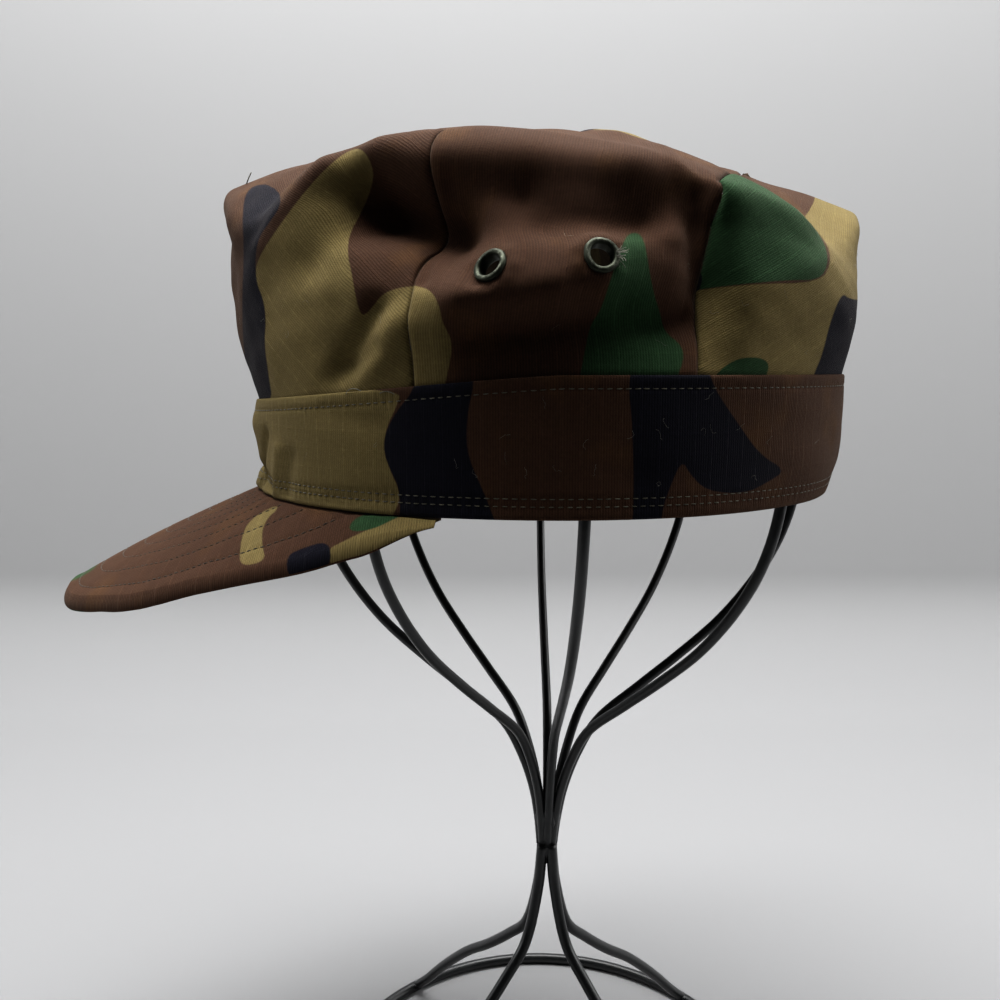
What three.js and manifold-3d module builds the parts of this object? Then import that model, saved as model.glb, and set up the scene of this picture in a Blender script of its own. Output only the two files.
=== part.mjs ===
// A cloth patrol cap standing on a plain wire hat stand.
// Lengths are millimetres and +Z is up. The visor points to -X and the cap's left side faces -Y.
// A turn is an angle in degrees round the cap: 0 is the front, 90 the left side and 180 the back.
import * as THREE from 'three';
import { mergeVertices } from 'three/addons/utils/BufferGeometryUtils.js';
import Module from 'manifold-3d';

const wasm = await Module();
wasm.setup();

// Driving dimensions: the band that goes round the head
const HEAD_LENGTH = 192.5;          // outside of the band, front to back
const HEAD_WIDTH = 179.6;           // outside of the band, side to side
const BAND_BOTTOM = 233;            // height of the band's lower edge over the floor
const BAND_HEIGHT = 36.7;
const BAND_FRONT_DIP = 8.3;         // the band's top edge is this much lower at the front
const BAND_WALL = 2.4;              // a doubled strip of cloth
const BAND_TUCK = 4.6;              // the lower edge at the back lies this far in
const CAP_FORWARD = 1.2;            // the cap sits this far ahead of the stand's own axis

// Driving dimensions: the crown
const CROWN_RISE = 70;              // from the band's top edge to the full height of the rim
const CROWN_PEAK = 75.8;            // from the band's top edge to the middle of the crown
const CROWN_WALL = 1.6;
const SEAM_GAP = 0.5;              // clear space between two pieces of cloth
const FRONT_SEAM_TURN = 65;       // where the side seams stand on the band
const REAR_SEAM_TURN = 113;
const FRONT_SEAM_TOP_TURN = 64;     // and where they cross the rim
const REAR_SEAM_TOP_TURN = 118;
const FRONT_SEAM_CROSSING = 55;     // they cross the middle of the crown this far ahead
const REAR_SEAM_CROSSING = 64;      // and this far behind
const REAR_SEAM_SWING = 9;          // degrees that the foot of the rear middle seam swings to the left

// Driving dimensions: the visor
const VISOR_LENGTH = 68;          // from the band to the tip, seen from above
const VISOR_TURN = 69;              // the visor meets the band this far round on each side
const VISOR_THICKNESS = 4.4;        // two layers of cloth over a board
const VISOR_DROP = 33.5;            // the tip's upper side lies this far under the band's edge
const VISOR_BEND = 0.15;            // share of the drop that comes late, towards the tip
const VISOR_ARCH = 2.2;             // how much steeper the drop is at the cap's half width
const VISOR_END = 1.6;              // the visor is still this long where it meets the band
const VISOR_END_THICKNESS = 1.8;    // and tapers to this thickness there

// Driving dimensions: the metal eyelets
const EYELET_WIDTH = 9.4;
const EYELET_HOLE = 6;
const EYELET_METAL = 0.5;
const EYELET_RIM = 1.1;             // height of the rolled rim over the cloth
const EYELET_CLEARANCE = 0.35;

// Driving dimensions: the wire stand
const CAGE_SIDE_CLEARANCE = 1.9;    // from the widest wires to the inner side of the band
const CAGE_WIDEST = 243;            // height of that place over the floor
const CAGE_WIRE = 3;
const CAGE_WIRES = 8;
const CAGE_TURN = 1.5;              // the first wire stands this far behind the left side
const CAGE_LEAN = 3;                // the cage leans this far back at its widest place
const CAGE_CLEARANCE = 0.75;        // from the top of the cage to the cloth over it
const WAIST_HEIGHT = 101;
const WAIST_RADIUS = 2.2;
const LEG_WIRE = 3.6;
const LEGS = 4;
const LEG_TURN = 41;
const BASE_RADIUS = 82;
const BASE_WIRE = 4.2;
const WELD_GAP = 0.3;               // left between a wire and the weld that it runs into
const TOP_WELD_RADIUS = 6.5;        // reach of the weld where the cage wires cross at the top
const WAIST_WELD_RADIUS = 12;       // wide enough to hold the whole bundle of wires
const WAIST_WELD_RISE = 0.16;       // share of a cage wire's rise that the bundle takes up
const WAIST_WELD_DROP = 0.11;       // share of a leg's drop that it takes up

// Mesh density: cells along and across the pieces of cloth, sides and steps of the wires
const WALL_ROWS = 10;
const TOP_ROWS = 5;
const CENTRE_COLUMNS = 14;
const FRONT_COLUMNS = 12;
const REAR_COLUMNS = 10;
const RING_STEPS = 60;
const VISOR_STEPS = 28;
const HOOP_STEPS = 34;
const LEG_STEPS = 10;
const BASE_STEPS = 32;
const WIRE_SIDES = 6;
const BASE_SIDES = 8;
const WELD_SIDES = 8;
const SEAM_SNAP = 0.5;              // degrees beside a middle seam that face as the seam does
const EYELET_SIDES = 10;
const HOLE_SIDES = 12;

const HALF_LENGTH = HEAD_LENGTH / 2;
const HALF_WIDTH = HEAD_WIDTH / 2;
const BAND_TOP = BAND_BOTTOM + BAND_HEIGHT;

// The cage fits inside the band. Lengthways its lean and the cap's own shift take up room too.
const CAGE_ROOM = Math.min(HALF_WIDTH, HALF_LENGTH - CAGE_LEAN - CAP_FORWARD);
const CAGE_RADIUS = CAGE_ROOM - BAND_WALL - CAGE_WIRE / 2 - CAGE_SIDE_CLEARANCE;

// The crown's shape at chosen turns. low, middle, high and rim are the reach from the cap's axis
// at a quarter, a half, three quarters and the whole way up the wall, as shares of the band's
// reach at that turn. lift is the rim's height over the band as a share of CROWN_RISE.
const CROWN_SECTIONS = [
  { turn: 0, corner: true, low: 1.060, middle: 1.092, high: 1.096, rim: 1.080, lift: 0.871 },
  { turn: 12, corner: false, low: 1.034, middle: 1.056, high: 1.060, rim: 1.046, lift: 0.725 },
  { turn: 26, corner: false, low: 1.016, middle: 1.032, high: 1.034, rim: 1.004, lift: 0.610 },
  { turn: 41, corner: false, low: 1.006, middle: 0.998, high: 0.955, rim: 0.866, lift: 0.915 },
  { turn: 66, corner: false, low: 0.992, middle: 0.953, high: 0.870, rim: 0.765, lift: 0.935 },
  { turn: 90, corner: false, low: 0.990, middle: 0.958, high: 0.891, rim: 0.756, lift: 0.900 },
  { turn: 105, corner: false, low: 0.992, middle: 0.964, high: 0.905, rim: 0.795, lift: 0.840 },
  { turn: 118, corner: true, low: 0.998, middle: 0.995, high: 0.985, rim: 0.957, lift: 0.714 },
  { turn: 137, corner: false, low: 1.010, middle: 1.016, high: 0.990, rim: 0.925, lift: 0.643 },
  { turn: 156, corner: false, low: 1.016, middle: 1.028, high: 1.004, rim: 0.936, lift: 0.557 },
  { turn: 180, corner: true, low: 1.012, middle: 1.040, high: 1.055, rim: 1.045, lift: 0.771 },
];

// Folds of the crown, each a straight ridge or hollow seen from its side of the cap. along is a
// share of half the head's length, behind the axis where positive. up is a share of CROWN_RISE.
// width is a share of CROWN_RISE. push is out where positive, as a share of CROWN_RISE.
const FOLDS = [
  { side: 'left', fromAlong: -0.54, fromUp: 0.66, toAlong: -0.31, toUp: 0.52, width: 0.15, push: -0.130 },
  { side: 'left', fromAlong: -0.08, fromUp: 0.58, toAlong: 0.24, toUp: 0.57, width: 0.11, push: -0.045 },
  { side: 'left', fromAlong: -0.24, fromUp: 0.26, toAlong: 0.06, toUp: 0.38, width: 0.18, push: 0.070 },
  { side: 'left', fromAlong: -0.18, fromUp: 0.12, toAlong: 0.38, toUp: 0.18, width: 0.13, push: -0.055 },
  { side: 'left', fromAlong: 0.37, fromUp: 0.66, toAlong: 0.40, toUp: 0.30, width: 0.09, push: -0.055 },
  { side: 'left', fromAlong: -0.60, fromUp: 0.02, toAlong: -0.66, toUp: -0.08, width: 0.06, push: -0.018 },
  { side: 'right', fromAlong: -0.35, fromUp: 0.55, toAlong: 0.10, toUp: 0.60, width: 0.14, push: -0.060 },
  { side: 'right', fromAlong: -0.20, fromUp: 0.25, toAlong: 0.25, toUp: 0.32, width: 0.18, push: 0.045 },
  { side: 'right', fromAlong: 0.36, fromUp: 0.54, toAlong: 0.38, toUp: 0.26, width: 0.10, push: -0.040 },
];

// The visor's outline: its length at a turn, as shares of VISOR_LENGTH and of VISOR_TURN
const VISOR_OUTLINE = [
  { turn: 0, reach: 1 },
  { turn: 0.113, reach: 0.93 },
  { turn: 0.23, reach: 0.70 },
  { turn: 0.44, reach: 0.35 },
  { turn: 0.74, reach: 0.095 },
  { turn: 1, reach: 0.015 },
];

// Places of the eyelets on the centre panel: the turn and the share of the wall's height
const EYELETS = [
  { name: 'front', turn: 78.5, share: 0.41 },
  { name: 'rear', turn: 95.5, share: 0.45 },
];

// One cage wire from the waist to the widest place: shares of the rise and of the cage's radius
const CAGE_PROFILE = [
  { rise: 0, reach: 0 },
  { rise: 0.065, reach: 0.012 },
  { rise: 0.15, reach: 0.040 },
  { rise: 0.24, reach: 0.095 },
  { rise: 0.325, reach: 0.178 },
  { rise: 0.415, reach: 0.358 },
  { rise: 0.49, reach: 0.515 },
  { rise: 0.585, reach: 0.695 },
  { rise: 0.685, reach: 0.832 },
  { rise: 0.785, reach: 0.928 },
  { rise: 0.89, reach: 0.983 },
  { rise: 1, reach: 1 },
];

// One leg from the waist down to the base ring: shares of the drop and of the base's radius
const LEG_PROFILE = [
  { drop: 0, reach: 0 },
  { drop: 0.17, reach: 0.028 },
  { drop: 0.36, reach: 0.108 },
  { drop: 0.455, reach: 0.228 },
  { drop: 0.56, reach: 0.385 },
  { drop: 0.655, reach: 0.548 },
  { drop: 0.80, reach: 0.748 },
  { drop: 0.92, reach: 0.893 },
  { drop: 1, reach: 1 },
];

function mix(from, to, share) {
  return from + (to - from) * share;
}

function radians(degrees) {
  return degrees * Math.PI / 180;
}

// Reads one column of a table at a place between its rows, along a smooth curve. The curve may
// turn sharply at a row marked as a corner.
function readTable(rows, place, column, key = 'turn') {
  const last = rows.length - 2;
  let i = 0;
  while (i < last && place > rows[i + 1][key]) i += 1;
  const step = (a, b) => (rows[b][column] - rows[a][column]) / (rows[b][key] - rows[a][key]);
  const slope = (row, near) => {
    const outer = row === 0 || row === rows.length - 1;
    return outer || rows[row].corner ? near : step(row - 1, row + 1);
  };
  const width = rows[i + 1][key] - rows[i][key];
  const t = (place - rows[i][key]) / width;
  const chord = step(i, i + 1);
  const start = slope(i, chord) * width;
  const end = slope(i + 1, chord) * width;
  const a = 2 * t ** 3 - 3 * t ** 2 + 1;
  const b = t ** 3 - 2 * t ** 2 + t;
  const c = t ** 3 - t ** 2;
  return a * rows[i][column] + b * start + (1 - a) * rows[i + 1][column] + c * end;
}

// Reach of the band's outside from the cap's axis
function bandReach(turn) {
  const angle = radians(turn);
  return 1 / Math.hypot(Math.cos(angle) / HALF_LENGTH, Math.sin(angle) / HALF_WIDTH);
}

function bandTop(turn) {
  return BAND_TOP - BAND_FRONT_DIP * Math.max(0, Math.cos(radians(turn))) ** 1.2;
}

// A point at a turn, a reach from the cap's axis and a height. Left turns are positive.
function place(turn, reach, height) {
  const angle = radians(turn);
  return new THREE.Vector3(-reach * Math.cos(angle), -reach * Math.sin(angle), height);
}

// Both sides of the cap have the same sections, so a turn is read as 0 to 180 either way round
function sectionTurn(turn) {
  return 180 - Math.abs(180 - Math.abs(turn));
}

function rimReach(turn) {
  return readTable(CROWN_SECTIONS, sectionTurn(turn), 'rim') * bandReach(turn);
}

// The smooth crown without folds. share runs from 0 at the band over 0.5 at the rim to 1 in the
// middle of the top.
function smoothCrown(turn, share) {
  const around = sectionTurn(turn);
  const reach = bandReach(turn);
  const foot = bandTop(turn) + SEAM_GAP;
  const rimHeight = BAND_TOP + readTable(CROWN_SECTIONS, around, 'lift') * CROWN_RISE;
  const rim = rimReach(turn);
  const round = 2.3 + 0.6 * Math.cos(radians(turn));
  const climb = BAND_TOP + CROWN_PEAK - rimHeight;
  if (share >= 0.5) {
    const inward = Math.min(1, 2 * share - 1);
    return place(turn, rim * (1 - inward), rimHeight + climb * (1 - (1 - inward) ** round));
  }
  const columns = ['low', 'middle', 'high', 'rim'];
  const reaches = [reach - (BAND_WALL - CROWN_WALL)];
  for (const column of columns) reaches.push(readTable(CROWN_SECTIONS, around, column) * reach);
  const position = share * 8;
  const i = Math.min(3, Math.floor(position));
  const t = position - i;
  const rise = (rimHeight - foot) / 4;
  const lean = (row) => {
    if (row === 0) return reaches[1] - reaches[0];
    if (row === 4) return -rise * rim / Math.hypot(rim, climb * round) * 1.4;
    return (reaches[row + 1] - reaches[row - 1]) / 2;
  };
  const lift = (row) => (row === 4 ? rise * climb * round / Math.hypot(rim, climb * round) * 1.4 : rise);
  const a = 2 * t ** 3 - 3 * t ** 2 + 1;
  const b = t ** 3 - 2 * t ** 2 + t;
  const c = t ** 3 - t ** 2;
  const out = a * reaches[i] + b * lean(i) + (1 - a) * reaches[i + 1] + c * lean(i + 1);
  const up = foot + rise * (i + (1 - a)) + b * lift(i) + c * lift(i + 1);
  return place(turn, out, up);
}

// How far the folds push a point of the crown out
function foldPush(point) {
  const along = point.x / HALF_LENGTH;
  const up = (point.z - BAND_TOP) / CROWN_RISE;
  const side = point.y < 0 ? 'left' : 'right';
  const stretch = HALF_LENGTH / CROWN_RISE;
  const edge = Math.min(1, Math.abs(point.y) / (0.35 * HALF_WIDTH));
  let push = 0;
  for (const fold of FOLDS) {
    if (fold.side !== side) continue;
    const dx = (fold.toAlong - fold.fromAlong) * stretch;
    const dz = fold.toUp - fold.fromUp;
    const px = (along - fold.fromAlong) * stretch;
    const pz = up - fold.fromUp;
    const t = Math.min(1, Math.max(0, (px * dx + pz * dz) / (dx * dx + dz * dz)));
    const distance = Math.hypot(px - t * dx, pz - t * dz) / fold.width;
    push += fold.push * CROWN_RISE * Math.exp(-distance * distance);
  }
  const hem = Math.min(1, Math.max(0, up + 0.11) / 0.15);
  return push * edge * hem;
}

function crownPoint(turn, share) {
  const point = smoothCrown(turn, share);
  const outward = new THREE.Vector3(point.x, point.y, point.z - (BAND_TOP + 0.25 * CROWN_RISE));
  return point.addScaledVector(outward.normalize(), foldPush(point));
}

// The crown's surface over or under a place in plan, counted inward from the rim
function topTurnShare(x, y) {
  const turn = THREE.MathUtils.radToDeg(Math.atan2(-y, -x));
  const inward = 1 - Math.hypot(x, y) / rimReach(turn);
  return { turn, share: 0.5 + 0.5 * Math.max(0, inward) };
}

function topPoint(x, y) {
  const spot = topTurnShare(x, y);
  return crownPoint(spot.turn, spot.share);
}

// The way the cloth faces. Beside a middle seam it is the seam's own, so that both edges match.
function crownNormal(place, share) {
  const around = sectionTurn(place);
  const turn = around < SEAM_SNAP ? 0 : around > 180 - SEAM_SNAP ? 180 : place;
  if (share > 0.8) {
    const { x, y } = smoothCrown(turn, share);
    const alongX = topPoint(x + 1, y).sub(topPoint(x - 1, y));
    const alongY = topPoint(x, y + 1).sub(topPoint(x, y - 1));
    return alongX.cross(alongY).normalize();
  }
  const round = crownPoint(turn + 0.6, share).sub(crownPoint(turn - 0.6, share));
  const upward = crownPoint(turn, share + 0.006).sub(crownPoint(turn, Math.max(0, share - 0.006)));
  return round.cross(upward).normalize();
}

// Makes a mesh geometry from corner positions and triangles, faces outward
function toGeometry(positions, triangles) {
  const geometry = new THREE.BufferGeometry();
  geometry.setAttribute('position', new THREE.Float32BufferAttribute(positions, 3));
  geometry.setIndex(triangles);
  return geometry;
}

function toManifold(source) {
  const bare = source.clone();
  bare.deleteAttribute('normal');
  bare.deleteAttribute('uv');
  const merged = mergeVertices(bare, 1e-4);
  const solid = new wasm.Mesh({
    numProp: 3,
    vertProperties: new Float32Array(merged.attributes.position.array),
    triVerts: new Uint32Array(merged.index.array),
  });
  return new wasm.Manifold(solid);
}

function fromManifold(solid) {
  const mesh = solid.getMesh();
  return toGeometry(Array.from(mesh.vertProperties), Array.from(mesh.triVerts));
}

// A closed sheet of cloth: a grid of outer points, the same grid set in by the wall, and an edge
function sheet(rows, columns, spot, wall) {
  const outer = [];
  const inner = [];
  for (let v = 0; v <= rows; v += 1) {
    for (let u = 0; u <= columns; u += 1) {
      const { turn, share } = spot(u / columns, v / rows);
      const point = crownPoint(turn, share);
      const normal = crownNormal(turn, share);
      outer.push(...point.toArray());
      inner.push(...point.addScaledVector(normal, -wall).toArray());
    }
  }
  const count = (rows + 1) * (columns + 1);
  const index = (u, v) => v * (columns + 1) + u;
  const triangles = [];
  const quad = (a, b, c, d) => triangles.push(a, b, c, a, c, d);
  for (let v = 0; v < rows; v += 1) {
    for (let u = 0; u < columns; u += 1) {
      const [a, b, c, d] = [index(u, v), index(u + 1, v), index(u + 1, v + 1), index(u, v + 1)];
      quad(a, b, c, d);
      quad(a + count, d + count, c + count, b + count);
    }
  }
  const edge = [];
  for (let u = 0; u < columns; u += 1) edge.push(index(u, 0));
  for (let v = 0; v < rows; v += 1) edge.push(index(columns, v));
  for (let u = columns; u > 0; u -= 1) edge.push(index(u, rows));
  for (let v = rows; v > 0; v -= 1) edge.push(index(0, v));
  edge.forEach((a, i) => {
    const b = edge[(i + 1) % edge.length];
    quad(a, a + count, b + count, b);
  });
  return toGeometry([...outer, ...inner], triangles);
}

// The side seams and the middle seams. wall gives the turn of a seam from the band at 0 to the
// rim at 1. top gives its line over the top in plan, from the rim to where it ends, moved aside
// by half the gap: inward is 1 for the panel behind the seam and -1 for the one ahead of it.
// swing moves a middle seam's foot aside, in degrees.
function sideSeam(footTurn, topTurn, crossing) {
  return {
    wall: (along) => mix(footTurn, topTurn, along),
    top: (along, inward) => {
      const rim = smoothCrown(topTurn, 0.5);
      return { x: mix(rim.x, crossing, along) + inward * SEAM_GAP / 2, y: mix(rim.y, 0, along) };
    },
  };
}

function middleSeam(turn, crossing, swing = 0) {
  return {
    wall: (along) => turn - swing * (1 - along) ** 2,
    top: (along) => ({ x: mix(smoothCrown(turn, 0.5).x, crossing, along), y: -SEAM_GAP / 2 }),
  };
}

const frontSeam = sideSeam(FRONT_SEAM_TURN, FRONT_SEAM_TOP_TURN, -FRONT_SEAM_CROSSING);
const rearSeam = sideSeam(REAR_SEAM_TURN, REAR_SEAM_TOP_TURN, REAR_SEAM_CROSSING);
const frontMiddle = middleSeam(0, -FRONT_SEAM_CROSSING);
const rearMiddle = (side) => middleSeam(180, REAR_SEAM_CROSSING, side * REAR_SEAM_SWING);

// A place between two seams: up the wall while climb is under 1, then over the top
function betweenSeams(u, climb, ahead, behind, side) {
  if (climb <= 1) {
    const from = ahead.wall(climb);
    const to = behind.wall(climb);
    const inset = THREE.MathUtils.radToDeg(SEAM_GAP / 2 / bandReach((from + to) / 2));
    return { turn: side * mix(from + inset, to - inset, u), share: 0.5 * climb };
  }
  const along = climb - 1;
  const corners = [ahead.wall(1), behind.wall(1)];
  const rim = smoothCrown(mix(corners[0], corners[1], u), 0.5);
  const ends = corners.map((turn) => smoothCrown(turn, 0.5));
  const a = ahead.top(along, 1);
  const b = behind.top(along, -1);
  const x = mix(a.x, b.x, u) + (1 - along) * (rim.x - mix(ends[0].x, ends[1].x, u));
  const y = mix(a.y, b.y, u) + (1 - along) * (rim.y - mix(ends[0].y, ends[1].y, u));
  const spot = topTurnShare(x, y);
  return { turn: side * spot.turn, share: spot.share };
}

// A corner panel at the front or the back, from the middle seam to a side seam
function cornerPanel(ahead, behind, columns, side) {
  const rows = WALL_ROWS + TOP_ROWS;
  const tip = 0.985;
  const spot = (u, v) => {
    const across = side > 0 ? u : 1 - u;
    const step = v * rows;
    const climb = step <= WALL_ROWS ? step / WALL_ROWS : 1 + tip * (step - WALL_ROWS) / TOP_ROWS;
    return betweenSeams(across, climb, ahead, behind, side);
  };
  return sheet(rows, columns, spot, CROWN_WALL);
}

// The panel from ear to ear: up the left side, over the top and down the right side
function centrePanel() {
  const rows = 2 * (WALL_ROWS + TOP_ROWS);
  const spot = (u, v) => {
    const step = Math.min(v, 1 - v) * rows;
    const side = v <= 0.5 ? 1 : -1;
    const climb = step <= WALL_ROWS ? step / WALL_ROWS : 1 + (step - WALL_ROWS) / TOP_ROWS;
    return betweenSeams(u, climb, frontSeam, rearSeam, side);
  };
  return sheet(rows, CENTRE_COLUMNS, spot, CROWN_WALL);
}

// Joins closed cross-sections one after the other. A ring closes on itself, and an open run gets
// a flat end.
function joinSections(sections, closed) {
  const size = sections[0].length;
  const positions = sections.flat().flatMap((point) => point.toArray());
  const triangles = [];
  const last = closed ? sections.length : sections.length - 1;
  for (let s = 0; s < last; s += 1) {
    const next = (s + 1) % sections.length;
    for (let i = 0; i < size; i += 1) {
      const j = (i + 1) % size;
      const [a, b, c, d] = [s * size + i, s * size + j, next * size + j, next * size + i];
      triangles.push(a, b, c, a, c, d);
    }
  }
  if (!closed) {
    const end = (sections.length - 1) * size;
    for (let i = 1; i < size - 1; i += 1) {
      triangles.push(0, i + 1, i);
      triangles.push(end, end + i, end + i + 1);
    }
  }
  return toGeometry(positions, triangles);
}

function bandGeometry() {
  const levels = [0, 0.3, 1];
  const sections = [];
  for (let i = 0; i < RING_STEPS; i += 1) {
    const turn = 360 * i / RING_STEPS;
    const rear = Math.max(0, -Math.cos(radians(turn))) ** 2;
    const outside = (level) => bandReach(turn) - BAND_TUCK * rear * (1 - level) ** 3;
    const height = (level) => mix(BAND_BOTTOM, bandTop(turn), level);
    const outer = levels.map((level) => place(turn, outside(level), height(level)));
    const inner = levels.map((level) => place(turn, outside(level) - BAND_WALL, height(level)));
    sections.push([...inner, ...outer.reverse()]);
  }
  return joinSections(sections, true);
}

// The visor's upper face. out runs from 0 under the band to 1 at the edge.
function visorPoint(turn, out) {
  const start = bandReach(turn) - BAND_WALL;
  const table = readTable(VISOR_OUTLINE, Math.abs(turn) / VISOR_TURN, 'reach');
  const length = Math.max(VISOR_END, table * VISOR_LENGTH);
  const reach = start + (length + BAND_WALL) * out;
  const beyond = Math.max(0, reach - bandReach(turn));
  const across = reach * Math.sin(radians(turn)) / HALF_WIDTH;
  const run = beyond / VISOR_LENGTH;
  const drop = VISOR_DROP * run * (1 - VISOR_BEND + VISOR_BEND * run) * (1 + VISOR_ARCH * across ** 2);
  return place(turn, reach, BAND_BOTTOM - SEAM_GAP - drop);
}

function visorGeometry() {
  const rows = [0, 0.2, 0.45, 0.7, 0.9, 0.98];
  const sections = [];
  for (let i = 0; i <= VISOR_STEPS; i += 1) {
    const turn = mix(-VISOR_TURN, VISOR_TURN, i / VISOR_STEPS);
    const thickness = mix(VISOR_THICKNESS, VISOR_END_THICKNESS, (turn / VISOR_TURN) ** 4);
    const down = new THREE.Vector3(0, 0, -thickness);
    const upper = rows.map((out) => visorPoint(turn, out));
    const lower = rows.map((out) => visorPoint(turn, out).add(down));
    const lip = visorPoint(turn, 1).addScaledVector(down, 0.5);
    sections.push([...upper, lip, ...lower.reverse()]);
  }
  return joinSections(sections, false);
}

// The frame of an eyelet: its centre on the cloth and a turn that takes +Z to the cloth's normal
function eyeletFrame(spot, side) {
  const centre = crownPoint(side * spot.turn, 0.5 * spot.share);
  const normal = crownNormal(side * spot.turn, 0.5 * spot.share);
  const turn = new THREE.Quaternion().setFromUnitVectors(new THREE.Vector3(0, 0, 1), normal);
  return { centre, turn };
}

// A rolled ring that grips the cloth: a rim outside, a barrel through the hole, a rim inside
function eyeletGeometry() {
  const hole = EYELET_HOLE / 2;
  const barrel = hole + EYELET_METAL;
  const rim = EYELET_WIDTH / 2;
  const seat = EYELET_CLEARANCE;
  const inside = -CROWN_WALL - EYELET_CLEARANCE;
  const profile = [
    [hole, inside - EYELET_METAL], [rim - 0.4, inside - EYELET_METAL], [rim - 0.4, inside],
    [barrel, inside], [barrel, seat], [rim, seat], [rim - 0.1, seat + 0.5 * EYELET_RIM],
    [mix(hole, rim, 0.5), EYELET_RIM + seat], [hole + 0.1, seat + 0.6 * EYELET_RIM],
  ];
  const points = [...profile, profile[0]].map(([x, y]) => new THREE.Vector2(x, y));
  const ring = new THREE.LatheGeometry(points, EYELET_SIDES);
  ring.rotateX(Math.PI / 2);
  return ring;
}

// Punches the four eyelet holes through the centre panel and presses the cloth flat round them
function punchHoles(panel) {
  const hole = EYELET_HOLE / 2 + EYELET_METAL + EYELET_CLEARANCE;
  const pressed = EYELET_WIDTH / 2 + EYELET_CLEARANCE;
  const reach = 4 * CROWN_WALL;
  const profile = [
    [0, -reach], [pressed, -reach], [pressed, -CROWN_WALL], [hole, -CROWN_WALL],
    [hole, 0], [pressed, 0], [pressed, reach], [0, reach],
  ];
  const points = profile.map(([x, y]) => new THREE.Vector2(x, y));
  let solid = toManifold(panel);
  for (const side of [1, -1]) {
    for (const spot of EYELETS) {
      const { centre, turn } = eyeletFrame(spot, side);
      const punch = new THREE.LatheGeometry(points, HOLE_SIDES);
      punch.rotateX(Math.PI / 2);
      punch.applyQuaternion(turn);
      punch.translate(centre.x, centre.y, centre.z);
      solid = solid.subtract(toManifold(punch));
    }
  }
  return fromManifold(solid);
}

// A round wire along a smooth curve through points
function wire(points, diameter, sides, steps, closed = false) {
  const section = new THREE.Shape();
  for (let i = 0; i < sides; i += 1) {
    const angle = 2 * Math.PI * (i + 0.5) / sides;
    const x = diameter / 2 * Math.cos(angle) / Math.cos(Math.PI / sides);
    const y = diameter / 2 * Math.sin(angle) / Math.cos(Math.PI / sides);
    if (i === 0) section.moveTo(x, y);
    else section.lineTo(x, y);
  }
  const path = new THREE.CatmullRomCurve3(points, closed, 'centripetal');
  return new THREE.ExtrudeGeometry(section, { steps, extrudePath: path, bevelEnabled: false });
}

// Height of the cage's top: the wires' upper side just clears the cloth over it
function cageTop() {
  const corner = CAGE_WIRE / 2 / Math.cos(Math.PI / WIRE_SIDES);
  return BAND_TOP + CROWN_PEAK - CROWN_WALL - CAGE_CLEARANCE - corner;
}

// A place on a cage wire. The cage leans back, more the higher up.
function cagePlace(turn, reach, height) {
  const lean = CAGE_LEAN * Math.min(1, (height - WAIST_HEIGHT) / (CAGE_WIDEST - WAIST_HEIGHT));
  return place(turn, reach, height).add(new THREE.Vector3(lean, 0, 0));
}

// A hoop of two cage wires: from the waist up one side, over the top and down the other
function hoopPoints(turn) {
  const rise = CAGE_WIDEST - WAIST_HEIGHT;
  const half = CAGE_PROFILE.map((row) => [
    mix(WAIST_RADIUS, CAGE_RADIUS, row.reach), WAIST_HEIGHT + rise * row.rise,
  ]);
  const domeRows = 6;
  for (let i = 1; i <= domeRows; i += 1) {
    const angle = Math.PI / 2 * i / domeRows;
    half.push([CAGE_RADIUS * Math.cos(angle), mix(CAGE_WIDEST, cageTop(), Math.sin(angle))]);
  }
  const up = half.map(([reach, height]) => cagePlace(turn, reach, height));
  const rest = half.slice(0, -1).reverse();
  const down = rest.map(([reach, height]) => cagePlace(turn + 180, reach, height));
  return [...up, ...down];
}

function legPoints(turn) {
  const drop = WAIST_HEIGHT - BASE_WIRE / 2;
  return LEG_PROFILE.map((row) => place(
    turn, mix(WAIST_RADIUS, BASE_RADIUS, row.reach), WAIST_HEIGHT - drop * row.drop,
  ));
}

// The base ring, or with some clearance the space that it needs
function baseRing(clearance = 0) {
  const height = BASE_WIRE / 2;
  const side = (height + clearance) / Math.cos(Math.PI / BASE_SIDES);
  const corners = [];
  for (let i = 0; i < BASE_SIDES; i += 1) {
    const angle = 2 * Math.PI * (i + 0.5) / BASE_SIDES;
    corners.push(new THREE.Vector2(BASE_RADIUS + side * Math.cos(angle), height + side * Math.sin(angle)));
  }
  const ring = new THREE.LatheGeometry([...corners, corners[0]], BASE_STEPS);
  ring.rotateX(Math.PI / 2);
  return ring;
}

// An upright cylinder round the stand's leaning cage, from one height to another
function weldSpace(radius, bottom, top) {
  const profile = [[0, bottom], [radius, bottom], [radius, top], [0, top]];
  const points = profile.map(([x, y]) => new THREE.Vector2(x, y));
  const space = new THREE.LatheGeometry(points, WELD_SIDES);
  space.rotateX(Math.PI / 2);
  space.translate(cagePlace(0, 0, bottom).x, 0, 0);
  return toManifold(space);
}

function topWeldSpace(clearance) {
  return weldSpace(TOP_WELD_RADIUS + clearance, CAGE_WIDEST, BAND_TOP + CROWN_PEAK);
}

function waistWeldSpace(clearance) {
  const rise = (CAGE_WIDEST - WAIST_HEIGHT) * WAIST_WELD_RISE;
  const drop = (WAIST_HEIGHT - BASE_WIRE / 2) * WAIST_WELD_DROP;
  const [bottom, top] = [WAIST_HEIGHT - drop - clearance, WAIST_HEIGHT + rise + clearance];
  return weldSpace(WAIST_WELD_RADIUS, bottom, top);
}

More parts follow.
